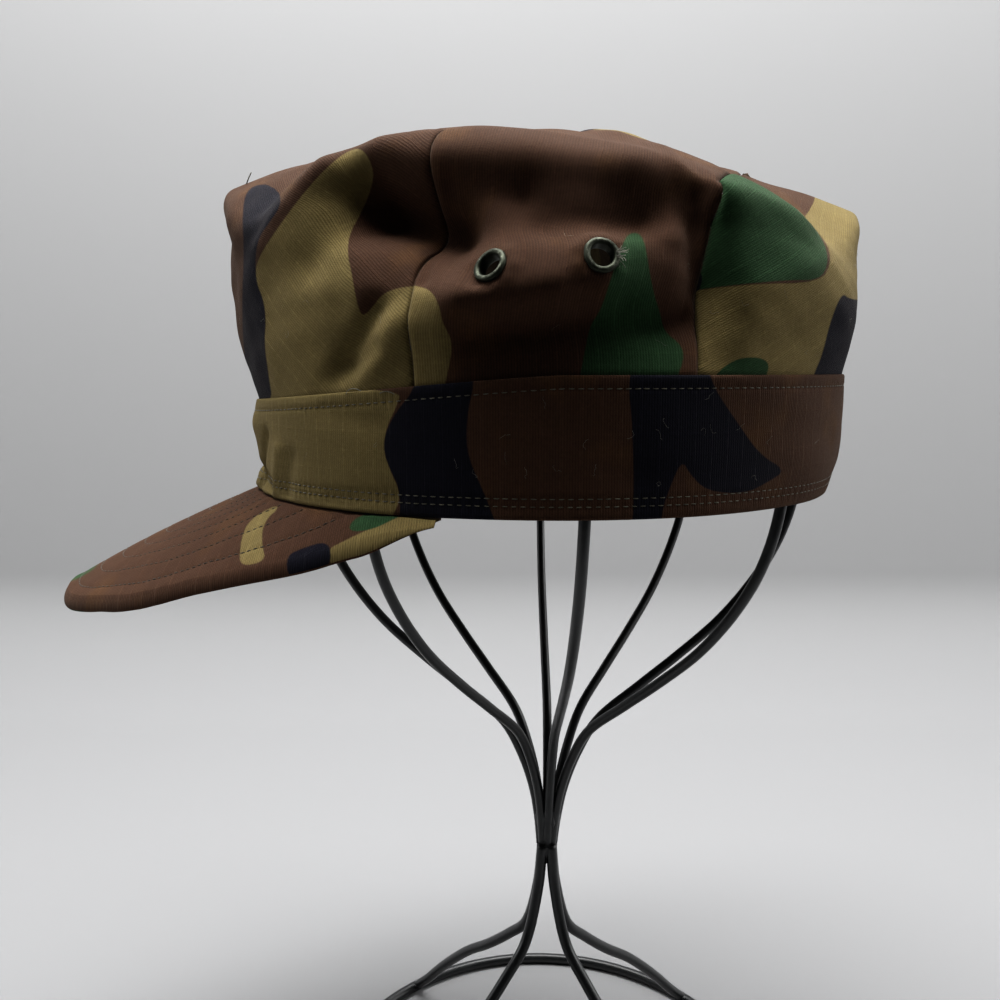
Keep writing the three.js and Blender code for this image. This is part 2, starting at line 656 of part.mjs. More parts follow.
// The stand's wires, each ending just short of the weld that it runs into, and the two welds:
// where the cage wires cross at the top, and the bundle at the waist
function standPieces() {
  const pieces = [['base_ring', baseRing()]];
  const hoops = [];
  const legs = [];
  for (let i = 0; i < CAGE_WIRES / 2; i += 1) {
    const turn = 90 + CAGE_TURN + 360 * i / CAGE_WIRES;
    const hoop = toManifold(wire(hoopPoints(turn), CAGE_WIRE, WIRE_SIDES, HOOP_STEPS));
    const cut = hoop.subtract(topWeldSpace(WELD_GAP)).subtract(waistWeldSpace(WELD_GAP));
    const ahead = place(turn, 1, 0);
    for (const half of cut.decompose()) {
      const { min, max } = half.boundingBox();
      const first = (min[0] + max[0]) * ahead.x + (min[1] + max[1]) * ahead.y > 0;
      pieces.push([`cage_wire_${first ? i + 1 : i + 1 + CAGE_WIRES / 2}`, fromManifold(half)]);
    }
    hoops.push(hoop);
  }
  for (let i = 0; i < LEGS; i += 1) {
    const turn = LEG_TURN + 360 * i / LEGS;
    const leg = toManifold(wire(legPoints(turn), LEG_WIRE, WIRE_SIDES, LEG_STEPS));
    const cut = leg.subtract(toManifold(baseRing(WELD_GAP))).subtract(waistWeldSpace(WELD_GAP));
    pieces.push([`leg_${i + 1}`, fromManifold(cut)]);
    legs.push(leg);
  }
  const cage = hoops.reduce((joined, hoop) => joined.add(hoop));
  const bundle = legs.reduce((joined, leg) => joined.add(leg), cage);
  pieces.push(['top_weld', fromManifold(cage.intersect(topWeldSpace(0)))]);
  pieces.push(['waist_weld', fromManifold(bundle.intersect(waistWeldSpace(0)))]);
  return pieces;
}

const cloth = { roughness: 0.95, metalness: 0 };
const colours = {
  brown: 0x4a3527,
  khaki: 0x6a6243,
  band: 0x3b2d25,
  metal: 0x55594c,
  wire: 0x16181a,
};

function piece(name, geometry, color, finish = cloth) {
  const mesh = new THREE.Mesh(geometry, new THREE.MeshStandardMaterial({ color, ...finish }));
  mesh.name = name;
  return mesh;
}

const cap = new THREE.Group();
cap.position.x = -CAP_FORWARD;
cap.add(piece('crown_centre', punchHoles(centrePanel()), colours.brown));
for (const [name, side] of [['left', 1], ['right', -1]]) {
  const front = cornerPanel(frontMiddle, frontSeam, FRONT_COLUMNS, side);
  const rear = cornerPanel(rearSeam, rearMiddle(side), REAR_COLUMNS, side);
  cap.add(piece(`crown_front_${name}`, front, colours.khaki));
  cap.add(piece(`crown_rear_${name}`, rear, colours.khaki));
  for (const spot of EYELETS) {
    const { centre, turn } = eyeletFrame(spot, side);
    const metal = { roughness: 0.35, metalness: 0.9 };
    const eyelet = piece(`eyelet_${name}_${spot.name}`, eyeletGeometry(), colours.metal, metal);
    eyelet.position.copy(centre);
    eyelet.quaternion.copy(turn);
    cap.add(eyelet);
  }
}
cap.add(piece('band', bandGeometry(), colours.band));
cap.add(piece('visor', visorGeometry(), colours.brown));

const stand = new THREE.Group();
for (const [name, geometry] of standPieces()) {
  stand.add(piece(name, geometry, colours.wire, { roughness: 0.4, metalness: 0.6 }));
}

// The whole part stands on the floor with the middle of its box over the origin
const group = new THREE.Group();
group.add(cap, stand);
group.updateMatrixWorld(true);
const box = new THREE.Box3().setFromObject(group, true);
group.position.set(-(box.min.x + box.max.x) / 2, -(box.min.y + box.max.y) / 2, -box.min.z);

export default group;
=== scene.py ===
# %% [markdown]
# # A cloth patrol cap on a wire hat stand
# The cap is sewn from thin ripstop cotton printed with an ordinary woodland pattern. It stands on
# a plain stand of black coated wire. The solids of the fixed frame give its size and its place,
# and this file gives it cloth, seams, stitches, thread and metal.

# %% Load the fixed frame
import bmesh
import bpy
import numpy as np
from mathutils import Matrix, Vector


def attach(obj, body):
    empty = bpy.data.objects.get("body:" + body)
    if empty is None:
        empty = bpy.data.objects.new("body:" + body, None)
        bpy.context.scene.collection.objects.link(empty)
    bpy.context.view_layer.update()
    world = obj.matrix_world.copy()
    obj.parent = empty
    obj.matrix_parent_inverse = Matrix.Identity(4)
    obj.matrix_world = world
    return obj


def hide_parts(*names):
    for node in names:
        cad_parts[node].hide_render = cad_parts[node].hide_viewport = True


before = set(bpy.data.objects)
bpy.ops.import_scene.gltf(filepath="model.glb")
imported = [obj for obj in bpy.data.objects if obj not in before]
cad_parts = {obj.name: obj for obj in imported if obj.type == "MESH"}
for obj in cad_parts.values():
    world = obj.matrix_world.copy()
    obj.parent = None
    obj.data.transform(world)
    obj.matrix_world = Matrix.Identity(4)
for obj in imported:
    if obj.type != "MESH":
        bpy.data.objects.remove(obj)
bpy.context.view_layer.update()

# %% [markdown]
# ## The camera
# The photographer stood close to the cap's left side and a little under its top, and tilted the
# camera down. A short lens from that near place gives the same strong perspective: the base ring
# looks wide and the top of the crown can't be seen.

# %% Camera
EYE = (0.0146, -0.3290, 0.2710)
TILT = 82.3
LENS = 34.67

camera_data = bpy.data.cameras.new("camera")
camera_data.lens = LENS
camera_data.sensor_width = 36
camera_data.clip_start = 0.01
camera = bpy.data.objects.new("camera", camera_data)
camera.location = EYE
camera.rotation_euler = (np.radians(TILT), 0, 0)
bpy.context.scene.collection.objects.link(camera)
bpy.context.scene.camera = camera
print("camera", EYE, "tilt", TILT)

# %% [markdown]
# ## The cap's sizes
# A cap is easiest to describe round its own upright axis, in millimetres. A turn is an angle in
# degrees: 0 is the front, 90 the wearer's left side, 180 the back. The same named sizes as in the
# solids are used here, so that each detailed piece stays where its solid is.

# %% Sizes of the cap in millimetres
CAP_AXIS = np.array([30.42, 1.02, 0.0])
HALF_LENGTH = 96.25
HALF_WIDTH = 89.8
BAND_BOTTOM = 233.0
BAND_TOP = 269.7
BAND_FRONT_DIP = 8.3
BAND_WALL = 2.4
BAND_TUCK = 4.6
CROWN_RISE = 70.0
CROWN_PEAK = 75.8
CROWN_WALL = 0.9
CROWN_TUCK = 0.8
SEAM_GAP = 0.5


def mix(start, end, share):
    return start + (end - start) * share


def smooth(low, high, value):
    """0 under low, 1 over high, and a soft step between them"""
    share = np.clip((value - low) / (high - low), 0, 1)
    return share * share * (3 - 2 * share)


def to_scene(points):
    """From millimetres round the cap's axis to metres in the frame"""
    return (np.asarray(points) + CAP_AXIS) * 0.001


def band_reach(turn):
    angle = np.radians(turn)
    return 1 / np.hypot(np.cos(angle) / HALF_LENGTH, np.sin(angle) / HALF_WIDTH)


def band_top(turn):
    return BAND_TOP - BAND_FRONT_DIP * np.maximum(0, np.cos(np.radians(turn))) ** 1.2


def spot(turn, reach, height):
    angle = np.radians(turn)
    return np.stack([-reach * np.cos(angle), -reach * np.sin(angle), height + 0 * angle], -1)


print("band top at the front and at the side:", band_top(0.0), band_top(90.0))

# %% [markdown]
# ## The crown's form
# A worn crown isn't round: its rim stands high over the front seam and the side seams and sags
# between them. A short table of sections says how far the cloth reaches at a quarter, a half,
# three quarters and all of the wall's height, as shares of the band's reach, and how high the rim
# stands. A smooth curve through the rows fills in the rest. The front rows stand a little higher
# or lower than those of the solids, to match the outline in the photo more closely.

# %% Sections of the crown: turn, corner, low, middle, high, rim, lift
CROWN_SECTIONS = [
    (0, True, 1.060, 1.092, 1.096, 1.080, 0.871),
    (12, False, 1.034, 1.056, 1.060, 1.046, 0.765),
    (26, False, 1.016, 1.032, 1.034, 1.004, 0.660),
    (41, False, 1.006, 0.998, 0.955, 0.866, 0.888),
    (66, False, 0.992, 0.953, 0.870, 0.765, 0.935),
    (90, False, 0.990, 0.958, 0.891, 0.756, 0.900),
    (105, False, 0.992, 0.964, 0.905, 0.795, 0.840),
    (118, True, 0.998, 0.995, 0.985, 0.957, 0.714),
    (137, False, 1.010, 1.016, 0.990, 0.925, 0.643),
    (156, False, 1.016, 1.028, 1.004, 0.936, 0.557),
    (180, True, 1.012, 1.040, 1.055, 1.045, 0.771),
]


def read_table(rows, places, column, corners=()):
    """Reads a column between the rows of a table on a smooth curve that may turn at corners"""
    keys = np.array([row[0] for row in rows], float)
    values = np.array([row[column] for row in rows], float)
    chords = np.diff(values) / np.diff(keys)
    slopes_in = np.empty(len(rows))
    slopes_out = np.empty(len(rows))
    for i in range(len(rows)):
        before = chords[max(0, i - 1)]
        after = chords[min(len(chords) - 1, i)]
        if i in (0, len(rows) - 1) or i in corners:
            slopes_in[i], slopes_out[i] = before, after
        else:
            slope = (values[i + 1] - values[i - 1]) / (keys[i + 1] - keys[i - 1])
            slopes_in[i] = slopes_out[i] = slope
    places = np.asarray(places, float)
    i = np.clip(np.searchsorted(keys, places, side="right") - 1, 0, len(rows) - 2)
    width = keys[i + 1] - keys[i]
    t = (places - keys[i]) / width
    a = 2 * t ** 3 - 3 * t ** 2 + 1
    b = t ** 3 - 2 * t ** 2 + t
    c = t ** 3 - t ** 2
    ends = a * values[i] + (1 - a) * values[i + 1]
    return ends + width * (b * slopes_out[i] + c * slopes_in[i + 1])


SECTION_CORNERS = [i for i, row in enumerate(CROWN_SECTIONS) if row[1]]


def section(turn, column):
    around = 180 - np.abs(180 - np.abs(turn))
    return read_table(CROWN_SECTIONS, around, column, SECTION_CORNERS)


def rim_reach(turn):
    return section(turn, 5) * band_reach(turn)


print("the rim reaches", np.round(rim_reach(np.array([0.0, 90.0, 180.0])), 1), "mm at front, side, back")

# %% Smooth crown without folds
def smooth_crown(turn, share):
    """share runs from 0 at the band over 0.5 at the rim to 1 in the middle of the top"""
    turn, share = np.broadcast_arrays(np.asarray(turn, float), np.asarray(share, float))
    reach = band_reach(turn)
    foot = band_top(turn) + SEAM_GAP
    rim_height = BAND_TOP + section(turn, 6) * CROWN_RISE
    rim = rim_reach(turn)
    roundness = 2.3 + 0.6 * np.cos(np.radians(turn))
    climb = BAND_TOP + CROWN_PEAK - rim_height
    inward = np.clip(2 * share - 1, 0, 1)
    top = spot(turn, rim * (1 - inward), rim_height + climb * (1 - (1 - inward) ** roundness))
    reaches = np.stack([reach - CROWN_TUCK] + [section(turn, k) * reach for k in (2, 3, 4, 5)])
    position = np.clip(share * 8, 0, 4)
    i = np.minimum(3, np.floor(position).astype(int))
    t = position - i
    rise = (rim_height - foot) / 4
    end = np.hypot(rim, climb * roundness)

    def lean(row):
        below = np.take_along_axis(reaches, np.maximum(row - 1, 0)[None], 0)[0]
        above = np.take_along_axis(reaches, np.minimum(row + 1, 4)[None], 0)[0]
        inner = np.where(row == 0, above - reaches[0], (above - below) / 2)
        return np.where(row == 4, -rise * rim / end * 1.4, inner)

    def lift(row):
        return np.where(row == 4, rise * climb * roundness / end * 1.4, rise)

    a = 2 * t ** 3 - 3 * t ** 2 + 1
    b = t ** 3 - 2 * t ** 2 + t
    c = t ** 3 - t ** 2
    here = np.take_along_axis(reaches, i[None], 0)[0]
    there = np.take_along_axis(reaches, (i + 1)[None], 0)[0]
    out = a * here + b * lean(i) + (1 - a) * there + c * lean(i + 1)
    up = foot + rise * (i + (1 - a)) + b * lift(i) + c * lift(i + 1)
    wall = spot(turn, out, up)
    return np.where((share >= 0.5)[..., None], top, wall)


print("middle of the top:", smooth_crown(0.0, 1.0))

# %% [markdown]
# ## Folds
# Soft cloth that stands on a wire cage folds between its seams. Each fold is a straight ridge or
# hollow, drawn from the side of the cap: where it starts and ends, how wide it is and how far it
# pushes the cloth. along is a share of half the head's length, up and width and push are shares
# of the crown's rise. Broad folds are the same as in the solids, and fine ones are added here.

# %% Folds: side, along and up at the start, along and up at the end, width, push
FOLDS = [
    ("left", -0.54, 0.66, -0.31, 0.52, 0.15, -0.130),
    ("left", -0.08, 0.58, 0.24, 0.57, 0.11, -0.045),
    ("left", -0.24, 0.26, 0.06, 0.38, 0.18, 0.070),
    ("left", -0.18, 0.12, 0.38, 0.18, 0.13, -0.055),
    ("left", 0.37, 0.66, 0.40, 0.30, 0.09, -0.055),
    ("left", -0.60, 0.02, -0.66, -0.08, 0.06, -0.018),
    ("right", -0.35, 0.55, 0.10, 0.60, 0.14, -0.060),
    ("right", -0.20, 0.25, 0.25, 0.32, 0.18, 0.045),
    ("right", 0.36, 0.54, 0.38, 0.26, 0.10, -0.040),
]
FINE_FOLDS = [
    ("left", -0.78, 0.52, -0.50, 0.88, 0.07, 0.010),
    ("left", -0.87, 0.52, -0.66, 0.80, 0.060, 0.030),
    ("left", -0.70, 0.44, -0.50, 0.74, 0.090, -0.030),
    ("left", -0.54, 0.63, -0.30, 0.55, 0.085, -0.085),
    ("left", -0.46, 0.80, 0.18, 0.75, 0.090, 0.040),
    ("left", -0.26, 0.27, -0.03, 0.30, 0.070, 0.026),
    ("left", -0.24, 0.14, 0.35, 0.19, 0.060, -0.040),
    ("left", -0.05, 0.52, 0.20, 0.54, 0.060, -0.030),
    ("left", 0.38, 0.64, 0.39, 0.34, 0.075, -0.034),
    ("left", -0.39, 0.50, -0.37, 0.34, 0.030, -0.025),
    ("left", -0.50, 0.24, -0.63, -0.02, 0.050, -0.034),
    ("left", -0.43, 0.20, -0.52, 0.00, 0.060, 0.016),
    ("left", -0.64, 0.94, -0.50, 0.98, 0.08, -0.018),
    ("left", -0.52, 0.50, -0.44, 0.30, 0.06, -0.016),
    ("left", -0.62, 0.40, -0.60, 0.16, 0.05, -0.010),
    ("left", -0.50, 0.10, -0.58, 0.00, 0.035, -0.014),
    ("left", -0.30, 0.70, -0.10, 0.66, 0.05, -0.020),
    ("left", -0.02, 0.18, 0.16, 0.24, 0.05, -0.016),
    ("left", 0.10, 0.46, 0.30, 0.50, 0.05, 0.012),
    ("left", 0.44, 0.80, 0.74, 0.60, 0.05, 0.016),
    ("left", 0.50, 0.30, 0.80, 0.46, 0.06, 0.008),
    ("left", 0.56, 0.10, 0.82, 0.20, 0.05, -0.008),
    ("left", 0.28, 0.86, 0.36, 0.62, 0.04, 0.010),
    ("right", -0.70, 0.50, -0.45, 0.84, 0.07, 0.020),
    ("right", -0.50, 0.42, -0.40, 0.20, 0.06, -0.014),
    ("right", 0.00, 0.16, 0.24, 0.20, 0.05, -0.014),
    ("right", 0.46, 0.74, 0.72, 0.56, 0.05, 0.014),
    ("right", 0.52, 0.26, 0.78, 0.40, 0.06, -0.008),
]


def fold_push(points, folds):
    """How far in millimetres the folds push points of the crown out"""
    along = points[..., 0] / HALF_LENGTH
    up = (points[..., 2] - BAND_TOP) / CROWN_RISE
    left = points[..., 1] < 0
    stretch = HALF_LENGTH / CROWN_RISE
    push = np.zeros(along.shape)
    for side, from_along, from_up, to_along, to_up, width, strength in folds:
        dx = (to_along - from_along) * stretch
        dz = to_up - from_up
        px = (along - from_along) * stretch
        pz = up - from_up
        t = np.clip((px * dx + pz * dz) / (dx * dx + dz * dz), 0, 1)
        distance = np.hypot(px - t * dx, pz - t * dz) / width
        mine = left if side == "left" else ~left
        push += mine * strength * CROWN_RISE * np.exp(-distance ** 2)
    edge = np.minimum(1, np.abs(points[..., 1]) / (0.35 * HALF_WIDTH))
    hem = np.clip((up + 0.11) / 0.15, 0, 1)
    return push * edge * hem


# Soft waves that no two caps share: direction, length in millimetres and height of each
WAVES = [
    ((0.9, 0.3, 0.4), 41.0, 0.34),
    ((0.2, 0.9, -0.5), 33.0, 0.28),
    ((-0.6, 0.2, 0.8), 24.0, 0.22),
    ((0.7, -0.7, 0.3), 17.0, 0.12),
    ((0.3, 0.5, 0.9), 11.0, 0.07),
]


def waves(points):
    total = np.zeros(points.shape[:-1])
    for i, (direction, length, height) in enumerate(WAVES):
        phase = points @ np.array(direction) * 2 * np.pi / length + 1.7 * i
        total += height * np.sin(phase + 0.8 * np.sin(phase * 0.37 + i))
    return total


# Between the front and side seams the rim has sunk by this many millimetres
RIM_SAG = 2.1


def crown_point(turn, share):
    point = smooth_crown(turn, share)
    outward = point - np.array([0, 0, BAND_TOP + 0.25 * CROWN_RISE])
    outward /= np.linalg.norm(outward, axis=-1, keepdims=True)
    share = np.broadcast_to(share, point.shape[:-1])
    push = fold_push(point, FOLDS + FINE_FOLDS) + smooth(0.0, 0.10, share) * waves(point)
    around = np.abs(np.broadcast_to(turn, point.shape[:-1]))
    sag = smooth(28, 42, around) * (1 - smooth(102, 114, around)) * smooth(0.42, 0.62, share)
    return point + outward * push[..., None] - np.array([0, 0, RIM_SAG]) * sag[..., None]


print(len(FOLDS), "broad folds and", len(FINE_FOLDS), "fine ones")

# %% [markdown]
# ## Cutting the crown's panels
# The crown has five panels: one from ear to ear over the top, two in front cut on the bias, and
# two behind. The seams between them are drawn first, and a panel is a grid of points between two
# seams. Each grid gets an inner side, so that the cloth has a real thickness, and its edges sink
# a little into the seam, which is what makes a sewn seam read as a line.

# %% Seams
FRONT_SEAM = (65.0, 64.0, -55.0)
REAR_SEAM = (113.0, 118.0, 64.0)
FRONT_MIDDLE = (0.0, 0.0, -55.0)
REAR_MIDDLE = (180.0, 180.0, 64.0)
# Low on the wall the rear middle seam has swung round to the left by this many degrees
REAR_SWING = 9.0
CLOTH_GAP = 0.16


def seam_top(seam, along, inward):
    """The seam's line over the top in plan, moved aside by half the gap"""
    rim = smooth_crown(seam[1], 0.5)
    x = mix(rim[0], seam[2], along) + inward * CLOTH_GAP / 2 * (rim[1] != 0)
    y = mix(rim[1], 0.0, along)
    return x, y


def between_seams(u, climb, ahead, behind, swing=0.0):
    """Turn and share of places between two seams: up the wall to 1, then over the top to 2"""
    start = mix(ahead[0], ahead[1], climb)
    end = mix(behind[0], behind[1], climb) - swing * np.clip(1 - climb, 0, 1) ** 2
    inset = np.degrees(CLOTH_GAP / 2 / band_reach((start + end) / 2))
    wall_turn = mix(start + inset, end - inset, u)
    wall_share = 0.5 * climb
    along = np.clip(climb - 1, 0, 1)
    rim = smooth_crown(mix(ahead[1], behind[1], u), 0.5)
    first = smooth_crown(ahead[1], 0.5)
    last = smooth_crown(behind[1], 0.5)
    ax, ay = seam_top(ahead, along, 1)
    bx, by = seam_top(behind, along, -1)
    x = mix(ax, bx, u) + (1 - along) * (rim[..., 0] - mix(first[0], last[0], u))
    y = mix(ay, by, u) + (1 - along) * (rim[..., 1] - mix(first[1], last[1], u))
    y = np.minimum(y, -CLOTH_GAP / 2 * (ahead[0] < 1 or behind[0] > 179))
    top_turn = np.degrees(np.arctan2(-y, -x))
    inward = np.clip(1 - np.hypot(x, y) / rim_reach(top_turn), 0, 1)
    on_top = climb > 1
    return np.where(on_top, top_turn, wall_turn), np.where(on_top, 0.5 + 0.5 * inward, wall_share)


print("seams stand at turns", FRONT_SEAM[0], "and", REAR_SEAM[0])

# %% Grids of cloth
def grid_normals(points):
    across = np.gradient(points, axis=1)
    along = np.gradient(points, axis=0)
    normal = np.cross(across, along)
    return normal / np.maximum(np.linalg.norm(normal, axis=-1, keepdims=True), 1e-9)


def lengths_along(points, axis):
    steps = np.linalg.norm(np.diff(points, axis=axis), axis=-1)
    zero = np.zeros_like(np.take(steps, [0], axis=axis))
    return np.cumsum(np.concatenate([zero, steps], axis=axis), axis=axis)


def make_mesh(name, points, faces, fields=None):
    """A mesh object from points in millimetres, with a named field of vectors for each entry"""
    mesh = bpy.data.meshes.new(name)
    mesh.from_pydata(to_scene(points).tolist(), [], faces)
    for field, values in (fields or {}).items():
        layer = mesh.attributes.new(field, "FLOAT_VECTOR", "POINT")
        layer.data.foreach_set("vector", np.asarray(values, np.float32).ravel())
    mesh.polygons.foreach_set("use_smooth", [True] * len(mesh.polygons))
    piece = bpy.data.objects.new(name, mesh)
    bpy.context.scene.collection.objects.link(piece)
    return piece


def shell_faces(rows, columns, hole):
    """Faces of a closed sheet: an outer grid, an inner grid and walls round the rim and the holes"""
    count = rows * columns
    solid = np.zeros((rows + 1, columns + 1), bool)
    solid[1:-1, 1:-1] = ~hole
    faces = []
    for v in range(rows - 1):
        for u in range(columns - 1):
            if not solid[v + 1, u + 1]:
                continue
            a = v * columns + u
            b, c, d = a + 1, a + columns + 1, a + columns
            faces.append((a, b, c, d))
            faces.append((a + count, d + count, c + count, b + count))
            if not solid[v, u + 1]:
                faces.append((a, a + count, b + count, b))
            if not solid[v + 1, u + 2]:
                faces.append((b, b + count, c + count, c))
            if not solid[v + 2, u + 1]:
                faces.append((c, c + count, d + count, d))
            if not solid[v + 1, u]:
                faces.append((d, d + count, a + count, a))
    return faces


print("cloth is", CROWN_WALL, "mm thick in the finish")

# %% [markdown]
# ## The printed pattern
# A woodland print has four colours in curved patches. The patches are drawn on an upright
# board beside the cap, as a painter would who sits near its left side: across and up run from 0
# to 1000. Each point of cloth finds its own place on the board once, and keeps as numbers how far
# it lies inside the nearest khaki, green and dark patch. The shader turns those numbers to colour,
# so an edge of the print stays sharp however fine the weave is. A second board stands on the
# other side, and a third one lies over the crown's top.

# %% Where a point lies on a board
BOARD_EYE = np.array([14.6, -329.0, 271.0]) - CAP_AXIS
BOARD_TILT = np.radians(90 - TILT)
BOARD_SCALE = 963.0


def on_board(points, side):
    """side is 1 for the left board and -1 for the right one, which mirrors it"""
    away = points * np.array([1, side, 1]) - BOARD_EYE
    depth = away[..., 1] * np.cos(BOARD_TILT) - away[..., 2] * np.sin(BOARD_TILT)
    height = away[..., 2] * np.cos(BOARD_TILT) + away[..., 1] * np.sin(BOARD_TILT)
    return np.stack([500 + BOARD_SCALE * away[..., 0] / depth, 500 - BOARD_SCALE * height / depth], -1)


def rounded(outline, passes=2):
    """Rounds the corners of a drawn outline"""
    outline = np.array(outline, float)
    for _ in range(passes):
        after = np.roll(outline, -1, axis=0)
        outline = np.stack([mix(outline, after, 0.25), mix(outline, after, 0.75)], 1).reshape(-1, 2)
    return outline


def inside_by(places, outline):
    """How far places lie inside an outline, negative outside"""
    start = rounded(outline)
    end = np.roll(start, -1, axis=0)
    flat = places.reshape(-1, 2)
    nearest = np.full(len(flat), 1e9)
    within = np.zeros(len(flat), bool)
    for a, b in zip(start, end):
        edge = b - a
        from_a = flat - a
        t = np.clip(from_a @ edge / max(edge @ edge, 1e-9), 0, 1)
        nearest = np.minimum(nearest, np.linalg.norm(from_a - t[:, None] * edge, axis=1))
        if a[1] != b[1]:
            crosses = (a[1] > flat[:, 1]) != (b[1] > flat[:, 1])
            at = a[0] + (flat[:, 1] - a[1]) / (b[1] - a[1]) * edge[0]
            within ^= crosses & (flat[:, 0] < at)
    return np.where(within, nearest, -nearest).reshape(places.shape[:-1])


def print_fields(places, chart):
    """Khaki, green and dark as three numbers for each place"""
    fields = []
    for colour in ("khaki", "green", "dark"):
        best = np.full(places.shape[:-1], -60.0)
        for outline in chart.get(colour, []):
            best = np.maximum(best, inside_by(places, outline))
        fields.append(best)
    return np.stack(fields, -1)


print("a board is drawn from", np.round(BOARD_EYE, 1), "mm")

# %% The print on the crown's left side
FRONT_PANEL = {
    "khaki": [
        [(258, 258), (275, 232), (298, 200), (322, 172), (345, 152), (362, 147), (374, 168), (372, 188),
         (362, 212), (350, 232), (347, 252), (352, 275), (356, 300), (362, 318), (372, 308), (382, 294),
         (400, 287), (425, 286), (470, 286), (470, 430), (240, 430), (262, 400), (270, 380), (264, 345),
         (266, 318), (262, 296), (254, 280)],
    ],
    "dark": [
        [(246, 190), (262, 183), (278, 188), (282, 204), (270, 222), (258, 238), (255, 262), (257, 285),
         (263, 298), (266, 318), (264, 345), (269, 378), (273, 402), (250, 404), (248, 380), (243, 345),
         (242, 300), (244, 250), (242, 215)],
        # The second dark patch lies left of the cap and reaches the cloth only along its front edge, where
        # the surface turns away: painted shade, not print
        [(150, 300), (205, 280), (232, 300), (238, 350), (225, 420), (150, 420)],
    ],
}
CENTRE_PANEL = {
    "khaki": [
        [(395, 282), (418, 286), (432, 291), (440, 308), (442, 322), (452, 340), (451, 358), (446, 378),
         (440, 420), (395, 420)],
    ],
    "green": [
        [(628, 234), (638, 232), (645, 242), (650, 275), (655, 298), (660, 312), (664, 332), (682, 345),
         (684, 360), (676, 380), (676, 420), (575, 420), (580, 376), (585, 350), (590, 325), (601, 310),
         (612, 275), (622, 245)],
    ],
}
REAR_PANEL = {
    "khaki": [
        [(640, 300), (690, 291), (750, 284), (820, 283), (832, 262), (826, 240), (800, 214), (778, 196),
         (758, 176), (760, 100), (950, 100), (950, 430), (640, 430)],
    ],
    "green": [
        [(640, 150), (735, 150), (752, 162), (768, 180), (802, 213), (824, 240), (829, 262), (820, 280),
         (790, 280), (752, 283), (700, 289), (640, 300)],
        [(712, 380), (722, 368), (738, 358), (760, 357), (770, 364), (766, 376), (757, 410), (700, 410)],
    ],
    "dark": [
        # The first dark patch is a small sliver by the rear seam, partly navy print and partly painted
        # shade in the pocket under the seam's overhang
        [(690, 276), (697, 268), (703, 276), (700, 290), (690, 296)],
        [(842, 292), (850, 300), (880, 300), (880, 430), (800, 430), (812, 378), (822, 356), (830, 322)],
    ],
}
REAR_SLIVER = {
    "khaki": [[(820, 180), (880, 180), (880, 286), (852, 300), (842, 302), (834, 260)]],
    "dark": [[(842, 292), (844, 312), (838, 340), (833, 366), (830, 400), (790, 400), (800, 330)]],
}
print("patches on the left:", sum(len(v) for v in FRONT_PANEL.values()), "in front")

# %% The print on the right side, the top, the band and the visor
RIGHT_SIDE = {
    "khaki": [
        [(190, 250), (235, 240), (262, 262), (268, 300), (262, 330), (280, 352), (300, 380), (290, 430),
         (190, 430)],
        [(520, 120), (560, 190), (590, 205), (625, 195), (650, 160), (668, 190), (655, 240), (620, 262),
         (585, 258), (560, 235), (530, 228), (508, 200), (498, 150)],
        [(700, 430), (705, 380), (730, 352), (770, 345), (800, 320), (828, 318), (880, 340), (880, 430)],
    ],
    "green": [
        [(300, 130), (340, 160), (350, 205), (335, 240), (345, 270), (375, 290), (390, 320), (375, 345),
         (345, 335), (325, 300), (300, 285), (288, 240), (296, 200), (282, 160)],
        [(740, 130), (780, 170), (800, 220), (790, 262), (760, 270), (742, 240), (722, 215), (716, 170)],
    ],
    "dark": [
        [(395, 170), (430, 180), (446, 215), (436, 255), (452, 290), (476, 305), (470, 335), (440, 345),
         (425, 320), (405, 300), (400, 260), (388, 225)],
        [(590, 300), (630, 290), (662, 305), (672, 340), (655, 430), (560, 430), (566, 350)],
    ],
}
TOP = {
    "khaki": [
        [(30, -50), (58, -38), (60, -12), (44, 4), (52, 26), (36, 42), (16, 30), (20, 6), (8, -18),
         (14, -42)],
    ],
    "green": [
        [(-40, -30), (-14, -34), (-2, -14), (-16, 2), (-10, 24), (-30, 38), (-48, 22), (-44, -4)],
    ],
    "dark": [
        [(-4, 34), (10, 28), (20, 44), (12, 58), (-8, 56), (-14, 46)],
        [(4, -28), (18, -36), (30, -30), (24, -18), (10, -16)],
    ],
}
BAND_LEFT = {
    "khaki": [
        [(180, 380), (258, 392), (402, 388), (396, 408), (386, 428), (384, 450), (390, 470), (400, 492),
         (398, 506), (385, 530), (180, 530)],
    ],
    "dark": [
        [(420, 360), (413, 392), (398, 409), (386, 430), (383, 450), (390, 470), (401, 492), (398, 540),
         (500, 540), (494, 518), (482, 488), (470, 462), (466, 440), (468, 410), (474, 385), (472, 360)],
        [(634, 360), (628, 385), (632, 420), (633, 455), (634, 485), (632, 540), (660, 540), (662, 510),
         (672, 482), (682, 460), (690, 474), (706, 491), (745, 494), (770, 481), (786, 470), (760, 455),
         (737, 422), (712, 385), (708, 360)],
    ],
}
BAND_RIGHT = {
    "khaki": [
        [(180, 360), (300, 380), (318, 410), (305, 445), (320, 480), (310, 540), (180, 540)],
        [(560, 380), (620, 372), (640, 400), (625, 430), (640, 470), (610, 500), (580, 470), (590, 430)],
    ],
    "green": [
        [(420, 370), (470, 372), (480, 400), (460, 430), (476, 470), (450, 540), (400, 540), (410, 450)],
    ],
    "dark": [
        [(700, 360), (760, 370), (775, 410), (752, 440), (765, 540), (690, 540), (700, 470), (684, 420)],
    ],
}
